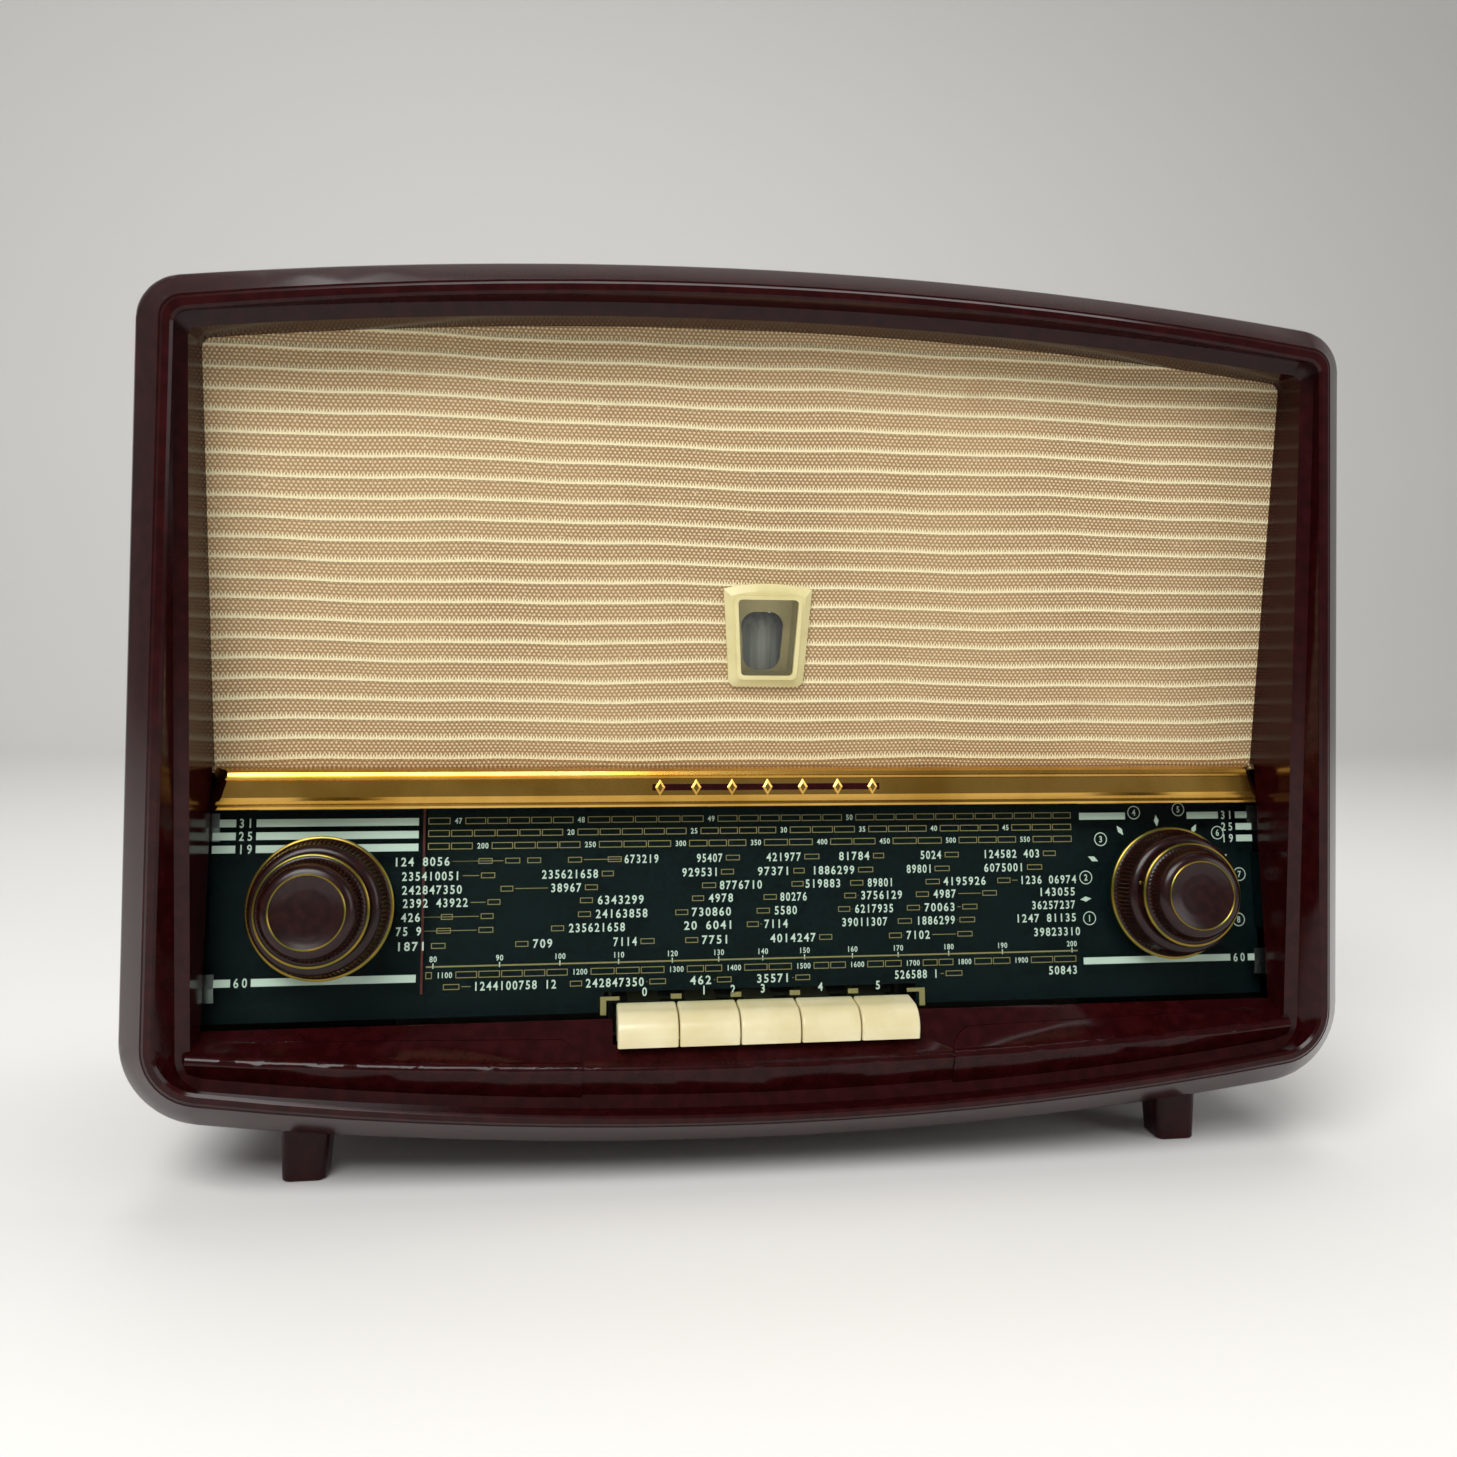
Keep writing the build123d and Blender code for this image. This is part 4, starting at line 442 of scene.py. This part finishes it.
class Print:
    """Flat shapes in dial millimetres (x, z), gathered into one mesh."""

    def __init__(self, table):
        self.table, self.points, self.tris, self.count = table, [], [], 0

    def put(self, points, tris):
        """Adds a shape."""
        points = np.asarray(points, float)
        self.points.append(points)
        self.tris.append(np.asarray(tris, int) + self.count)
        self.count += len(points)

    def bar(self, x0, x1, z0, z1):
        """Filled rectangle."""
        self.put([(x0, z0), (x1, z0), (x1, z1), (x0, z1)], [(0, 1, 2), (0, 2, 3)])

    def box(self, x0, x1, z0, z1, line=0.28):
        """Outlined rectangle."""
        self.bar(x0, x1, z0, z0 + line)
        self.bar(x0, x1, z1 - line, z1)
        self.bar(x0, x0 + line, z0 + line, z1 - line)
        self.bar(x1 - line, x1, z0 + line, z1 - line)

    def ring(self, x, z, inner, outer):
        """Flat ring."""
        a = np.arange(36) * (2 * math.pi / 36)
        turn = np.stack([np.cos(a), np.sin(a)], axis=-1)
        points = np.concatenate([turn * outer, turn * inner]) + [x, z]
        i = np.arange(36)
        j = (i + 1) % 36
        self.put(points, np.concatenate([np.stack([i, j, j + 36], -1), np.stack([i, j + 36, i + 36], -1)]))

    def diamond(self, x, z, angle, half_long, half_wide):
        """Lozenge whose long axis points at an angle."""
        along = np.array([math.cos(angle), math.sin(angle)])
        side = np.array([-along[1], along[0]])
        centre = np.array([x, z])
        points = [centre + along * half_long, centre + side * half_wide]
        points += [centre - along * half_long, centre - side * half_wide]
        self.put(points, [(0, 1, 2), (0, 2, 3)])

    def digits(self, text, x0, x1, z, high, fill=0.74):
        """Digits spread evenly from x0 to x1, centred on z."""
        cell = (x1 - x0) / len(text)
        for i, letter in enumerate(text):
            if letter in self.table:
                points, tris = self.table[letter]
                place = [x0 + cell * (i + 0.5), z - high / 2]
                self.put(points * [cell * fill, high] + place, tris)

    def number(self, text, x, z, high):
        """Digits centred on x at their natural width."""
        half = 0.34 * high * len(text)
        self.digits(text, x - half, x + half, z, high, 0.82)

    def finish(self, name, out):
        """The mesh object, standing out of the glass face by out millimetres."""
        points = np.concatenate(self.points)
        v = (points[:, 1] - KNOB_Z) / math.cos(GLASS_TILT)
        return mesh_object(name, dial_points(points[:, 0], v, out), np.concatenate(self.tris), smooth=False)


# rows of place marks: height, then (from x, to x, digits)
STATIONS = [
    (115.6, [(-136.8, -116.3, "124 8056"), (-25.9, -15.7, "95407"), (0.7, 14.5, "421977"),
             (28.8, 41.3, "81784"), (61.0, 69.8, "5024"), (86.2, 109.7, "124582 403"),
             (-53.1, -39.8, "673219")]),
    (110.4, [(-133.8, -112.6, "235410051"), (-83.5, -62.3, "235621658"), (-31.5, -17.2, "929531"),
             (-2.8, 10.2, "97371"), (18.3, 35.3, "1886299"), (55.4, 66.0, "89801"),
             (86.4, 103.0, "6075001")]),
    (105.5, [(-133.7, -111.8, "242847350"), (-80.2, -68.5, "38967"), (-17.3, -0.6, "8776710"),
             (15.5, 29.8, "519883"), (39.9, 50.5, "89801"), (69.9, 87.5, "4195926"),
             (100.8, 124.4, "1236 06974")]),
    (100.8, [(-133.3, -109.6, "2392 43922"), (-63.0, -45.3, "6343299"), (-21.5, -11.7, "4978"),
             (5.8, 16.6, "80276"), (37.1, 53.9, "3756129"), (65.8, 75.3, "4987"), (108.3, 123.8, "143055")]),
    (95.8, [(-133.8, -126.5, "426"), (-63.7, -43.9, "24163858"), (-27.9, -12.5, "730860"),
            (3.5, 12.7, "5580"), (34.7, 50.3, "6217935"), (62.1, 74.8, "70063"), (105.3, 123.6, "36257237")]),
    (90.9, [(-135.5, -126.0, "75 9"), (-73.5, -52.3, "235621658"), (-30.9, -11.7, "20 6041"),
            (-0.4, 9.1, "7114"), (29.5, 47.8, "39011307"), (58.8, 74.6, "1886299"),
            (98.6, 123.8, "1247 81135")]),
    (85.6, [(-135.4, -124.2, "1871"), (-86.5, -78.9, "709"), (-57.1, -47.9, "7114"), (-24.2, -13.3, "7751"),
            (1.8, 19.8, "4014247"), (54.7, 64.5, "7102"), (105.7, 125.2, "39823310")]),
    (71.0, [(-107.7, -77.4, "1244100758 12"), (-67.2, -45.3, "242847350"), (-28.7, -20.1, "462"),
            (-3.6, 9.6, "35571"), (49.7, 67.3, "526588 1"), (111.2, 123.4, "50843")]),
]
BOXES = [
    (115.6, [(-106.3, -101.2), (-96.6, -91.2), (-88.6, -83.6), (-73.7, -68.6), (-59.0, -53.9), (-14.6, -9.3),
             (15.6, 21.4), (42.5, 46.8), (71.0, 76.6), (110.9, 116.1)]),
    (110.4, [(-105.3, -100.2), (-61.2, -56.8), (-16.5, -11.6), (11.3, 15.6), (36.5, 42.4), (66.8, 72.8),
             (104.2, 110.3)]),
    (105.5, [(-98.2, -93.6), (-67.4, -62.7), (-23.7, -18.4), (10.5, 15.1), (33.3, 38.4), (63.1, 68.7),
             (91.9, 97.2)]),
    (100.8, [(-102.8, -98.2), (-69.2, -64.5), (-27.5, -23.0), (-0.3, 4.7), (30.9, 35.5), (59.1, 64.2),
             (85.7, 91.5)]),
    (95.8, [(-119.4, -115.2), (-105.2, -100.6), (-69.9, -65.2), (-33.8, -29.0), (-3.0, 2.0), (28.4, 33.1),
            (55.4, 60.5), (77.5, 83.5)]),
    (90.9, [(-120.9, -115.8), (-105.9, -100.6), (-79.7, -75.0), (-6.8, -2.3), (51.7, 57.2), (76.2, 82.4)]),
    (85.6, [(-122.7, -117.6), (-92.6, -87.9), (-46.8, -41.6), (-30.1, -25.3), (20.9, 25.9), (48.1, 53.1),
            (75.2, 81.2)]),
    (71.0, [(-118.2, -112.4), (-72.7, -68.3), (-43.5, -37.4), (-18.3, -12.8), (11.5, 17.1), (70.1, 76.7)]),
]
SCALES = [
    (130.2, [(47, -113.7), (48, -68.9), (49, -20.1), (50, 33.4)]),
    (125.7, [(20, -72.7), (25, -26.6), (30, 7.7), (35, 38.4), (40, 66.9), (45, 95.9)]),
    (121.1, [(200, -104.8), (250, -65.5), (300, -31.7), (350, -3.1), (400, 22.6), (450, 47.2), (500, 73.6),
             (550, 103.7)]),
    (75.2, [(1100, -117.8), (1200, -69.1), (1300, -33.5), (1400, -11.9), (1500, 14.6), (1600, 35.4),
            (1700, 57.2), (1800, 77.7), (1900, 100.5)]),
]
TICKS = [(80, -121.9), (90, -98.2), (100, -76.4), (110, -54.9), (120, -35.0), (130, -17.6), (140, -0.9),
         (150, 15.1), (160, 33.6), (170, 51.5), (180, 71.5), (190, 93.0), (200, 121.3)]
AERIAL_MARKS = [196.9, 169.4, 141.0, 110.0, 76.8, 43.7, 11.2, -20.0]
AERIAL_DIAMONDS = [
    (127.8, 97.8), (131.5, 113.2), (143.2, 124.1), (158.7, 127.8), (174.4, 124.3), (186.1, 113.2),
]


def print_stations(white, gold, high):
    """Rows of place marks with their boxes and thin leaders."""
    for z, row in STATIONS:
        for x0, x1, text in row:
            white.digits(text, x0, x1, z, high)
    for (z, row), (_, boxes) in zip(STATIONS, BOXES):
        for x0, x1 in boxes:
            gold.box(x0, x1, z - 1.0, z + 1.0)
            gaps = [(x0 - right, right, x0) for _, right, _ in row if x0 > right]
            gaps += [(left - x1, x1, left) for left, _, _ in row if left > x1]
            gap, start, end = min(gaps)
            if 1.6 < gap < 24:
                gold.bar(start + 0.7, end - 0.7, z - 0.12, z + 0.12)


def print_scales(white, gold):
    """Wavelength scales: outlined boxes in a row, broken by their numbers."""
    for z, row in SCALES:
        edges = [-124.5]
        for value, x in row:
            half = 0.76 * len(str(value)) + 0.9
            white.number(str(value), x, z, SMALL_FIGURE)
            edges += [x - half, x + half]
        edges.append(123.4)
        for x0, x1 in zip(edges[0::2], edges[1::2]):
            pieces = max(1, round((x1 - x0) / 8.2))
            for i in range(pieces):
                step = (x1 - x0) / pieces
                gold.box(x0 + step * i, x0 + step * (i + 1) - 0.5, z - 1.2, z + 1.2)
    gold.bar(-124.4, 123.6, 77.95, 78.5)
    for value, x in TICKS:
        white.number(str(value), x, 80.9, SMALL_FIGURE)
        white.bar(x - 0.2, x + 0.2, 77.6, 79.4)


def print_sides(white, gold):
    """Band bars at both sides, aerial marks round the right knob, brackets at the keys."""
    for label, z in (("31", 130.0), ("25", 125.4), ("19", 120.8), ("60", 74.3)):
        white.bar(-199.8, -191.8, z - 1.35, z + 1.35)
        white.digits(label, -191.3, -185.5, z, 3.3, 0.6)
        white.bar(-184.8, -127.9, z - 1.35, z + 1.35)
        shift = 2.2 if z < 80 else 0.0
        white.digits(label, 185.7 + shift, 191.7 + shift, z - 0.2, 3.3, 0.6)
        white.bar(192.4 + shift, 199.3, z - 1.5, z + 1.1)
    white.bar(126.4, 145.6, 128.4, 131.1)
    white.bar(171.7, 185.1, 128.4, 131.1)
    white.bar(125.9, 187.2, 72.9, 75.5)
    for number, degrees in enumerate(AERIAL_MARKS):
        angle = math.radians(degrees)
        x, z = KNOB_X + 33 * math.cos(angle), KNOB_Z + 33 * math.sin(angle)
        white.ring(x, z, 2.3, 2.65)
        white.number(str(number + 1), x, z, 2.5)
    for x, z in AERIAL_DIAMONDS:
        white.diamond(x, z, math.atan2(z - KNOB_Z, x - KNOB_X), 2.3, 1.0)
    for text, x in (("0", -45.3), ("1", -23.2), ("2", -12.3), ("3", -1.0), ("4", 21.0), ("5", 43.3)):
        white.number(text, x, 67.4, 3.2)
    for side in (-1, 1):
        x0, x1 = sorted((side * 61.6, side * 59.4))
        gold.bar(x0, x1, 59.4, 66.0)
        x0, x1 = sorted((side * 59.4, side * 54.6))
        gold.bar(x0, x1, 64.6, 66.0)
    for x in (-33.6, -11.2, 11.2, 33.6):
        gold.bar(x - 2.0, x + 2.0, 64.6, 66.4)


# ---------------------------------------------------------------- settings

class ClothSettings(bpy.types.PropertyGroup):
    """Speaker cloth"""
    pitch: bpy.props.FloatProperty(
        name="Cord pitch", description="Distance between cream cords, mm", default=7.3, min=4.0, max=12.0)
    relief: bpy.props.FloatProperty(
        name="Cord relief", description="How far a cord stands out, mm", default=0.32, min=0.0, max=0.6)
    sag: bpy.props.FloatProperty(
        name="Cord waviness", description="How far a cord strays from straight, mm",
        default=0.8, min=0.0, max=3.0)


class KnobSettings(bpy.types.PropertyGroup):
    """Knobs"""
    outer_ridges: bpy.props.IntProperty(
        name="Outer ridges", description="Ridges round the outer knobs", default=90, min=30, max=140)
    inner_ridges: bpy.props.IntProperty(
        name="Inner ridges", description="Ridges round the inner knobs", default=72, min=30, max=120)
    ridge_depth: bpy.props.FloatProperty(
        name="Ridge depth", description="Depth of a ridge, mm", default=0.8, min=0.0, max=1.2)


class DialSettings(bpy.types.PropertyGroup):
    """Dial printing and badge bar"""
    letter_height: bpy.props.FloatProperty(
        name="Figure height", description="Height of the place marks, mm", default=3.2, min=2.0, max=5.0)
    marks: bpy.props.IntProperty(
        name="Bar marks", description="Raised marks on the gold bar", default=7, min=0, max=12)


class StageSettings(bpy.types.PropertyGroup):
    """Floor, light and camera"""
    key_power: bpy.props.FloatProperty(
        name="Key light", description="Power of the large light, W", default=42.0, min=0.0, unit="POWER")
    fill_power: bpy.props.FloatProperty(
        name="Fill light", description="Power of the side light, W", default=9.0, min=0.0, unit="POWER")
    world: bpy.props.FloatProperty(
        name="Room light", description="Strength of the pale surroundings", default=0.2, min=0.0, max=3.0)
    lens: bpy.props.FloatProperty(
        name="Focal length", description="Camera focal length, mm", default=31.84, min=10.0, max=120.0)


# ---------------------------------------------------------------- pieces

class RADIO_OT_shell(bpy.types.Operator):
    """Cabinet, feet and rear cover"""
    bl_idname = "radio.shell"
    bl_label = "Shell"

    def execute(self, context):
        for node, slot, name, degrees in (
            ("cabinet", "bakelite", "cabinet_moulding", 24),
            ("feet", "bakelite", "moulded_feet", 40),
            ("rear_cover", "hardboard", "rear_board", 40),
        ):
            paint(smooth_copy(node, ROOT, slot, name, degrees), slot)
        return {"FINISHED"}


class RADIO_OT_cloth(bpy.types.Operator):
    """Speaker cloth stretched over the board"""
    bl_idname = "radio.cloth"
    bl_label = "Speaker cloth"

    def execute(self, context):
        """P(x, v) = cloth plane + relief * exp(-(d / 0.55)^2) out, d = distance to the nearest cord,
        cords at (v + sag * wave(x, v)) / pitch whole; half-width narrows with the arch above v = 78.7 mm."""
        settings = context.scene.radio_cloth
        half, foot, side, crown = 203.2, -77.9, 78.7, 90.0
        eye_v = (EYE_Z - CLOTH_MID_Z) / math.cos(CLOTH_TILT)
        slot_half, slot_rise = EYE_SLOT_HALF
        rows = np.arange(foot, crown - 0.4, 0.26)
        wing = np.linspace(-1.0, -slot_half / half, 44)
        middle = np.linspace(-slot_half, slot_half, 5)[1:-1] / half
        columns = np.concatenate([wing, middle, -wing[::-1]])
        chord = half * np.sqrt(np.clip(1 - (rows - side) / (crown - side), 0, 1))
        chord[rows < side] = half
        x = columns[:, None] * chord[None, :]
        v = np.repeat(rows[None, :], len(columns), axis=0)
        wave = np.sin(x * 0.031 + v * 0.05) * 0.6 + np.sin(x * 0.083 + 1.3 + v * 0.021) * 0.3
        wave = wave + np.sin(x * 0.19 + v * 0.11) * 0.1
        along = v + settings.sag * wave
        nearest = np.abs((along / settings.pitch + 0.5) % 1 - 0.5) * settings.pitch
        relief = settings.relief * np.exp(-((nearest / 0.55) ** 2))
        points = cloth_points(x, v, relief - 0.1)
        nu, nv = x.shape
        faces = grid_faces(nu, nv, False, False)
        flat_x, flat_v = x.reshape(-1), v.reshape(-1)
        centre_x, centre_v = flat_x[faces].mean(1), flat_v[faces].mean(1)
        faces = faces[~((np.abs(centre_x) < slot_half) & (np.abs(centre_v - eye_v) < slot_rise))]
        used, index = np.unique(faces, return_inverse=True)
        obj = mesh_object("speaker_cloth_sheet", points.reshape(-1, 3)[used], index.reshape(-1, 4))
        layer = obj.data.uv_layers.new(name="weave")
        corner = np.zeros(len(obj.data.loops), int)
        obj.data.loops.foreach_get("vertex_index", corner)
        uv = np.stack([flat_x[used], along.reshape(-1)[used]], axis=-1)[corner] / 1000
        layer.data.foreach_set("uv", uv.ravel())
        obj.data.materials.append(cloth_material(settings.pitch))
        adopt(obj, ROOT, "speaker_fabric", "speaker_cloth")
        return {"FINISHED"}


class RADIO_OT_trim(bpy.types.Operator):
    """Gold bar with its inlay strip and raised marks"""
    bl_idname = "radio.trim"
    bl_label = "Gold bar"

    def execute(self, context):
        """Marks are lozenge frustums: base half-axes 1.9 by 3.0 mm, crest 0.55 of that, 1.1 mm out."""
        paint(smooth_copy("trim_bar", ROOT, "gold_anodised", "gold_bar", 20), "gold_anodised")
        strip = np.array([
            (x, FRONT_Y + BAR_DEPTH + BAR_SLOPE * (z - BAR_MID_Z) + out, z)
            for out in (0.1, -0.25) for z in INLAY_Z for x in (-INLAY_HALF, INLAY_HALF)
        ]) / 1000
        faces = np.array([
            (0, 1, 3, 2), (4, 5, 7, 6), (0, 1, 5, 4), (2, 3, 7, 6), (0, 2, 6, 4), (1, 3, 7, 5),
        ])
        centre = strip.mean(0)
        for number, (a, b, c, d) in enumerate(faces.tolist()):
            normal = np.cross(strip[b] - strip[a], strip[c] - strip[b])
            if np.dot(normal, strip[[a, b, c, d]].mean(0) - centre) <= 0:
                faces[number] = (d, c, b, a)
        inlay = mesh_object("inlay_strip", strip, faces, smooth=False)
        adopt(paint(inlay, "bakelite"), ROOT, "bakelite")
        count = context.scene.radio_dial.marks
        centres = (np.arange(count) - (count - 1) / 2) * MARK_SPACING
        half_wide, half_high = MARK_HALF
        outline = np.array([(1, 0), (0, 1), (-1, 0), (0, -1)])
        levels = [(0.2, 1.0), (-0.75, 1.0), (-1.1, 0.55)]
        mark = np.array([
            (a * half_wide * scale, BAR_DEPTH + BAR_SLOPE * b * half_high * scale + out,
             BAR_MID_Z + b * half_high * scale)
            for out, scale in levels for a, b in outline
        ])
        mark = mark + [0, FRONT_Y, 0]
        i = np.arange(4)
        j = (i + 1) % 4
        walls = [np.stack([base + i, base + j, base + 4 + j, base + 4 + i], -1) for base in (0, 4)]
        faces = np.concatenate(walls + [np.array([(8, 9, 10, 11)]), np.array([(3, 2, 1, 0)])])
        faces = outward(mark, faces)
        places = np.stack([centres, 0 * centres, 0 * centres], -1)
        verts = (mark[None] + places[:, None]).reshape(-1, 3) / 1000
        all_faces = (faces[None] + (np.arange(count) * 12)[:, None, None]).reshape(-1, 4)
        marks = mesh_object("raised_marks", verts, all_faces, smooth=False)
        adopt(paint(marks, "gold_anodised"), ROOT, "gold_anodised")
        return {"FINISHED"}


class RADIO_OT_eye(bpy.types.Operator):
    """Tuning eye: bezel, window, tube"""
    bl_idname = "radio.eye"
    bl_label = "Tuning eye"

    def execute(self, context):
        for node, slot, name, degrees in (
            ("eye_bezel", "cream_plastic", "eye_surround", 26),
            ("eye_window", "clear_plastic", "eye_pane", 30),
            ("eye_tube", "tube_glass", "eye_bulb", 50),
        ):
            paint(smooth_copy(node, ROOT, slot, name, degrees), slot)
        return {"FINISHED"}


class RADIO_OT_dial(bpy.types.Operator):
    """Printing behind the dial glass"""
    bl_idname = "radio.dial"
    bl_label = "Dial printing"

    def execute(self, context):
        table = glyphs()
        white, gold = Print(table), Print(table)
        print_stations(white, gold, context.scene.radio_dial.letter_height)
        print_scales(white, gold)
        print_sides(white, gold)
        # screen-printed enamel inks
        for name, shapes, code in (("white_print", white, "#e2e6da"), ("gold_print", gold, "#a08a58")):
            obj = shapes.finish(name, INK_OUT)
            obj.data.materials.append(plain("screen_ink_" + name, code, 0.5))
            adopt(obj, ROOT, "dial_green")
        return {"FINISHED"}


class RADIO_OT_knobs(bpy.types.Operator):
    """Concentric knobs with ridges and brass rings"""
    bl_idname = "radio.knobs"
    bl_label = "Knobs"

    def execute(self, context):
        settings = context.scene.radio_knobs
        for side, inner_name, outer_name in ((-1, "volume", "tone"), (1, "tuning", "antenna")):
            outer = (outer_name, OUTER_KNOB, settings.outer_ridges, settings.ridge_depth, OUTER_RIDGED)
            inner = (inner_name, INNER_KNOB, settings.inner_ridges, settings.ridge_depth * 0.8, INNER_RIDGED)
            for body, profile, ridges, depth, ridged in (outer, inner):
                knurl = (ridges, depth, *ridged)
                knob = lathe(body + "_ridged_knob", profile, side * KNOB_X, knurl, ridges * STEPS_PER_RIDGE)
                knob.data.set_sharp_from_angle(angle=math.radians(50))
                adopt(paint(knob, "knob_bakelite"), body, "knob_bakelite", body + "_knob")
            for body, tail in ((outer_name, "_knob_ring"), (inner_name, "_knob_rings")):
                ring = smooth_copy(body + tail, body, "brass_ring", body + tail + "_bright", 50)
                paint(ring, "brass_ring")
        angle = math.radians(INDEX_DOT_ANGLE)
        dot_x = KNOB_X + INDEX_DOT_RADIUS * math.cos(angle)
        dot_v = INDEX_DOT_RADIUS * math.sin(angle)
        a = np.arange(24)[:, None] * (2 * math.pi / 24)
        s = np.array([0.02, 0.5, 0.8, 0.8])[None, :]
        rise = np.array([0.35, 0.28, 0.1, -0.3])[None, :]
        points = dial_points(dot_x + s * np.cos(a), dot_v + s * np.sin(a), 16.5 + rise)
        dot = mesh_object("aerial_index_dot", points.reshape(-1, 3), grid_faces(24, 4, True, False))
        adopt(paint(dot, "brass_ring"), "antenna", "brass_ring")
        return {"FINISHED"}


class RADIO_OT_keys(bpy.types.Operator):
    """Ivory piano keys"""
    bl_idname = "radio.keys"
    bl_label = "Keys"

    def execute(self, context):
        for number in range(1, 6):
            node = f"key_{number}"
            paint(smooth_copy(node, node, "ivory_plastic", node + "_ivory", 40), "ivory_plastic")
        return {"FINISHED"}


class RADIO_OT_works(bpy.types.Operator):
    """Finishes of every CAD node that stays in view or inside"""
    bl_idname = "radio.works"
    bl_label = "Works"

    def execute(self, context):
        for entry in frame["record"]["subparts"]:
            node, slot = entry["node"], entry["material_slot"]
            if not frame["nodes"][node].hide_render:
                paint(frame["nodes"][node], slot)
        return {"FINISHED"}


class RADIO_OT_stage(bpy.types.Operator):
    """Pale floor, soft lights and the camera"""
    bl_idname = "radio.stage"
    bl_label = "Stage"

    def execute(self, context):
        """Floor and backdrop: z = 0 to y = 1.6 m, then a quarter circle of radius 0.6 m, then upright."""
        settings = context.scene.radio_stage
        bend = np.linspace(0, math.pi / 2, 13)
        run = np.concatenate([[-3.0], 1.6 + 0.6 * np.sin(bend), [2.2]])
        rise = np.concatenate([[0.0], 0.6 - 0.6 * np.cos(bend), [3.2]])
        x = np.array([-3.5, 3.5])
        points = np.stack([np.repeat(x[:, None], len(run), 1), np.repeat(run[None], 2, 0),
                           np.repeat(rise[None], 2, 0)], axis=-1)
        floor = mesh_object("studio_floor", points.reshape(-1, 3), grid_faces(2, len(run), False, False))
        floor.data.materials.append(plain("matte_paper_backdrop", "#f3f2ef", 0.9))
        world = bpy.data.worlds.new("pale_room")
        world.use_nodes = True
        back = world.node_tree.nodes["Background"]
        back.inputs["Color"].default_value = linear("#f6f5f2")
        back.inputs["Strength"].default_value = settings.world
        context.scene.world = world
        context.scene.view_settings.view_transform = "Standard"
        for name, place, target, size, power in (
            ("key_light", (-0.7, -1.5, 1.7), (0.0, 0.0, 0.15), (1.4, 1.0), settings.key_power),
            ("fill_light", (1.7, -1.3, 0.9), (0.0, 0.0, 0.15), (0.9, 1.2), settings.fill_power),
            ("top_light", (0.1, 0.3, 2.0), (0.0, 0.0, 0.2), (1.8, 0.8), settings.fill_power * 1.6),
        ):
            data = bpy.data.lights.new(name, "AREA")
            data.shape = "RECTANGLE"
            data.size, data.size_y = size
            data.energy = power
            lamp = bpy.data.objects.new(name, data)
            lamp.location = place
            lamp.rotation_euler = (Vector(target) - Vector(place)).to_track_quat("-Z", "Y").to_euler()
            context.scene.collection.objects.link(lamp)
        data = bpy.data.cameras.new("camera")
        data.sensor_width = 36.0
        data.lens = settings.lens
        data.shift_x, data.shift_y = CAMERA_SHIFT
        camera = bpy.data.objects.new("camera", data)
        yaw, pitch, roll = (math.radians(a) for a in CAMERA_TURN)
        forward = Vector((math.sin(yaw) * math.cos(pitch), math.cos(yaw) * math.cos(pitch), math.sin(pitch)))
        right = forward.cross(Vector((0, 0, 1))).normalized()
        up = right.cross(forward)
        right, up = (
            math.cos(roll) * right + math.sin(roll) * up,
            -math.sin(roll) * right + math.cos(roll) * up,
        )
        turn = Matrix((right, up, -forward)).transposed().to_4x4()
        camera.matrix_world = Matrix.Translation(CAMERA_PLACE) @ turn
        context.scene.collection.objects.link(camera)
        context.scene.camera = camera
        return {"FINISHED"}


class RADIO_PT_panel(bpy.types.Panel):
    """Sidebar panel of the radio"""
    bl_label = "Table Radio"
    bl_idname = "RADIO_PT_panel"
    bl_space_type = "VIEW_3D"
    bl_region_type = "UI"
    bl_category = "Radio"

    def draw(self, context):
        """Shows every setting and a button for each piece."""
        for name, group in GROUPS.items():
            box = self.layout.box()
            for key in group.__annotations__:
                box.prop(getattr(context.scene, name), key)
        for operator in OPERATORS:
            self.layout.operator(operator.bl_idname)


OPERATORS = (
    RADIO_OT_shell, RADIO_OT_cloth, RADIO_OT_trim, RADIO_OT_eye, RADIO_OT_dial, RADIO_OT_knobs, RADIO_OT_keys,
    RADIO_OT_works, RADIO_OT_stage,
)
GROUPS = {
    "radio_cloth": ClothSettings, "radio_knobs": KnobSettings, "radio_dial": DialSettings,
    "radio_stage": StageSettings,
}


def register():
    """Registers the classes and hangs the settings on the scene."""
    for item in (*GROUPS.values(), *OPERATORS, RADIO_PT_panel):
        bpy.utils.register_class(item)
    for name, group in GROUPS.items():
        setattr(bpy.types.Scene, name, bpy.props.PointerProperty(type=group))


def unregister():
    """Takes everything off again."""
    for name in GROUPS:
        delattr(bpy.types.Scene, name)
    for item in (RADIO_PT_panel, *reversed(OPERATORS), *reversed(GROUPS.values())):
        bpy.utils.unregister_class(item)


def main():
    """Builds the whole scene."""
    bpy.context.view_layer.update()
    register()
    for name in ("shell", "cloth", "trim", "eye", "dial", "knobs", "keys", "works", "stage"):
        getattr(bpy.ops.radio, name)()


if __name__ == "__main__":
    main()
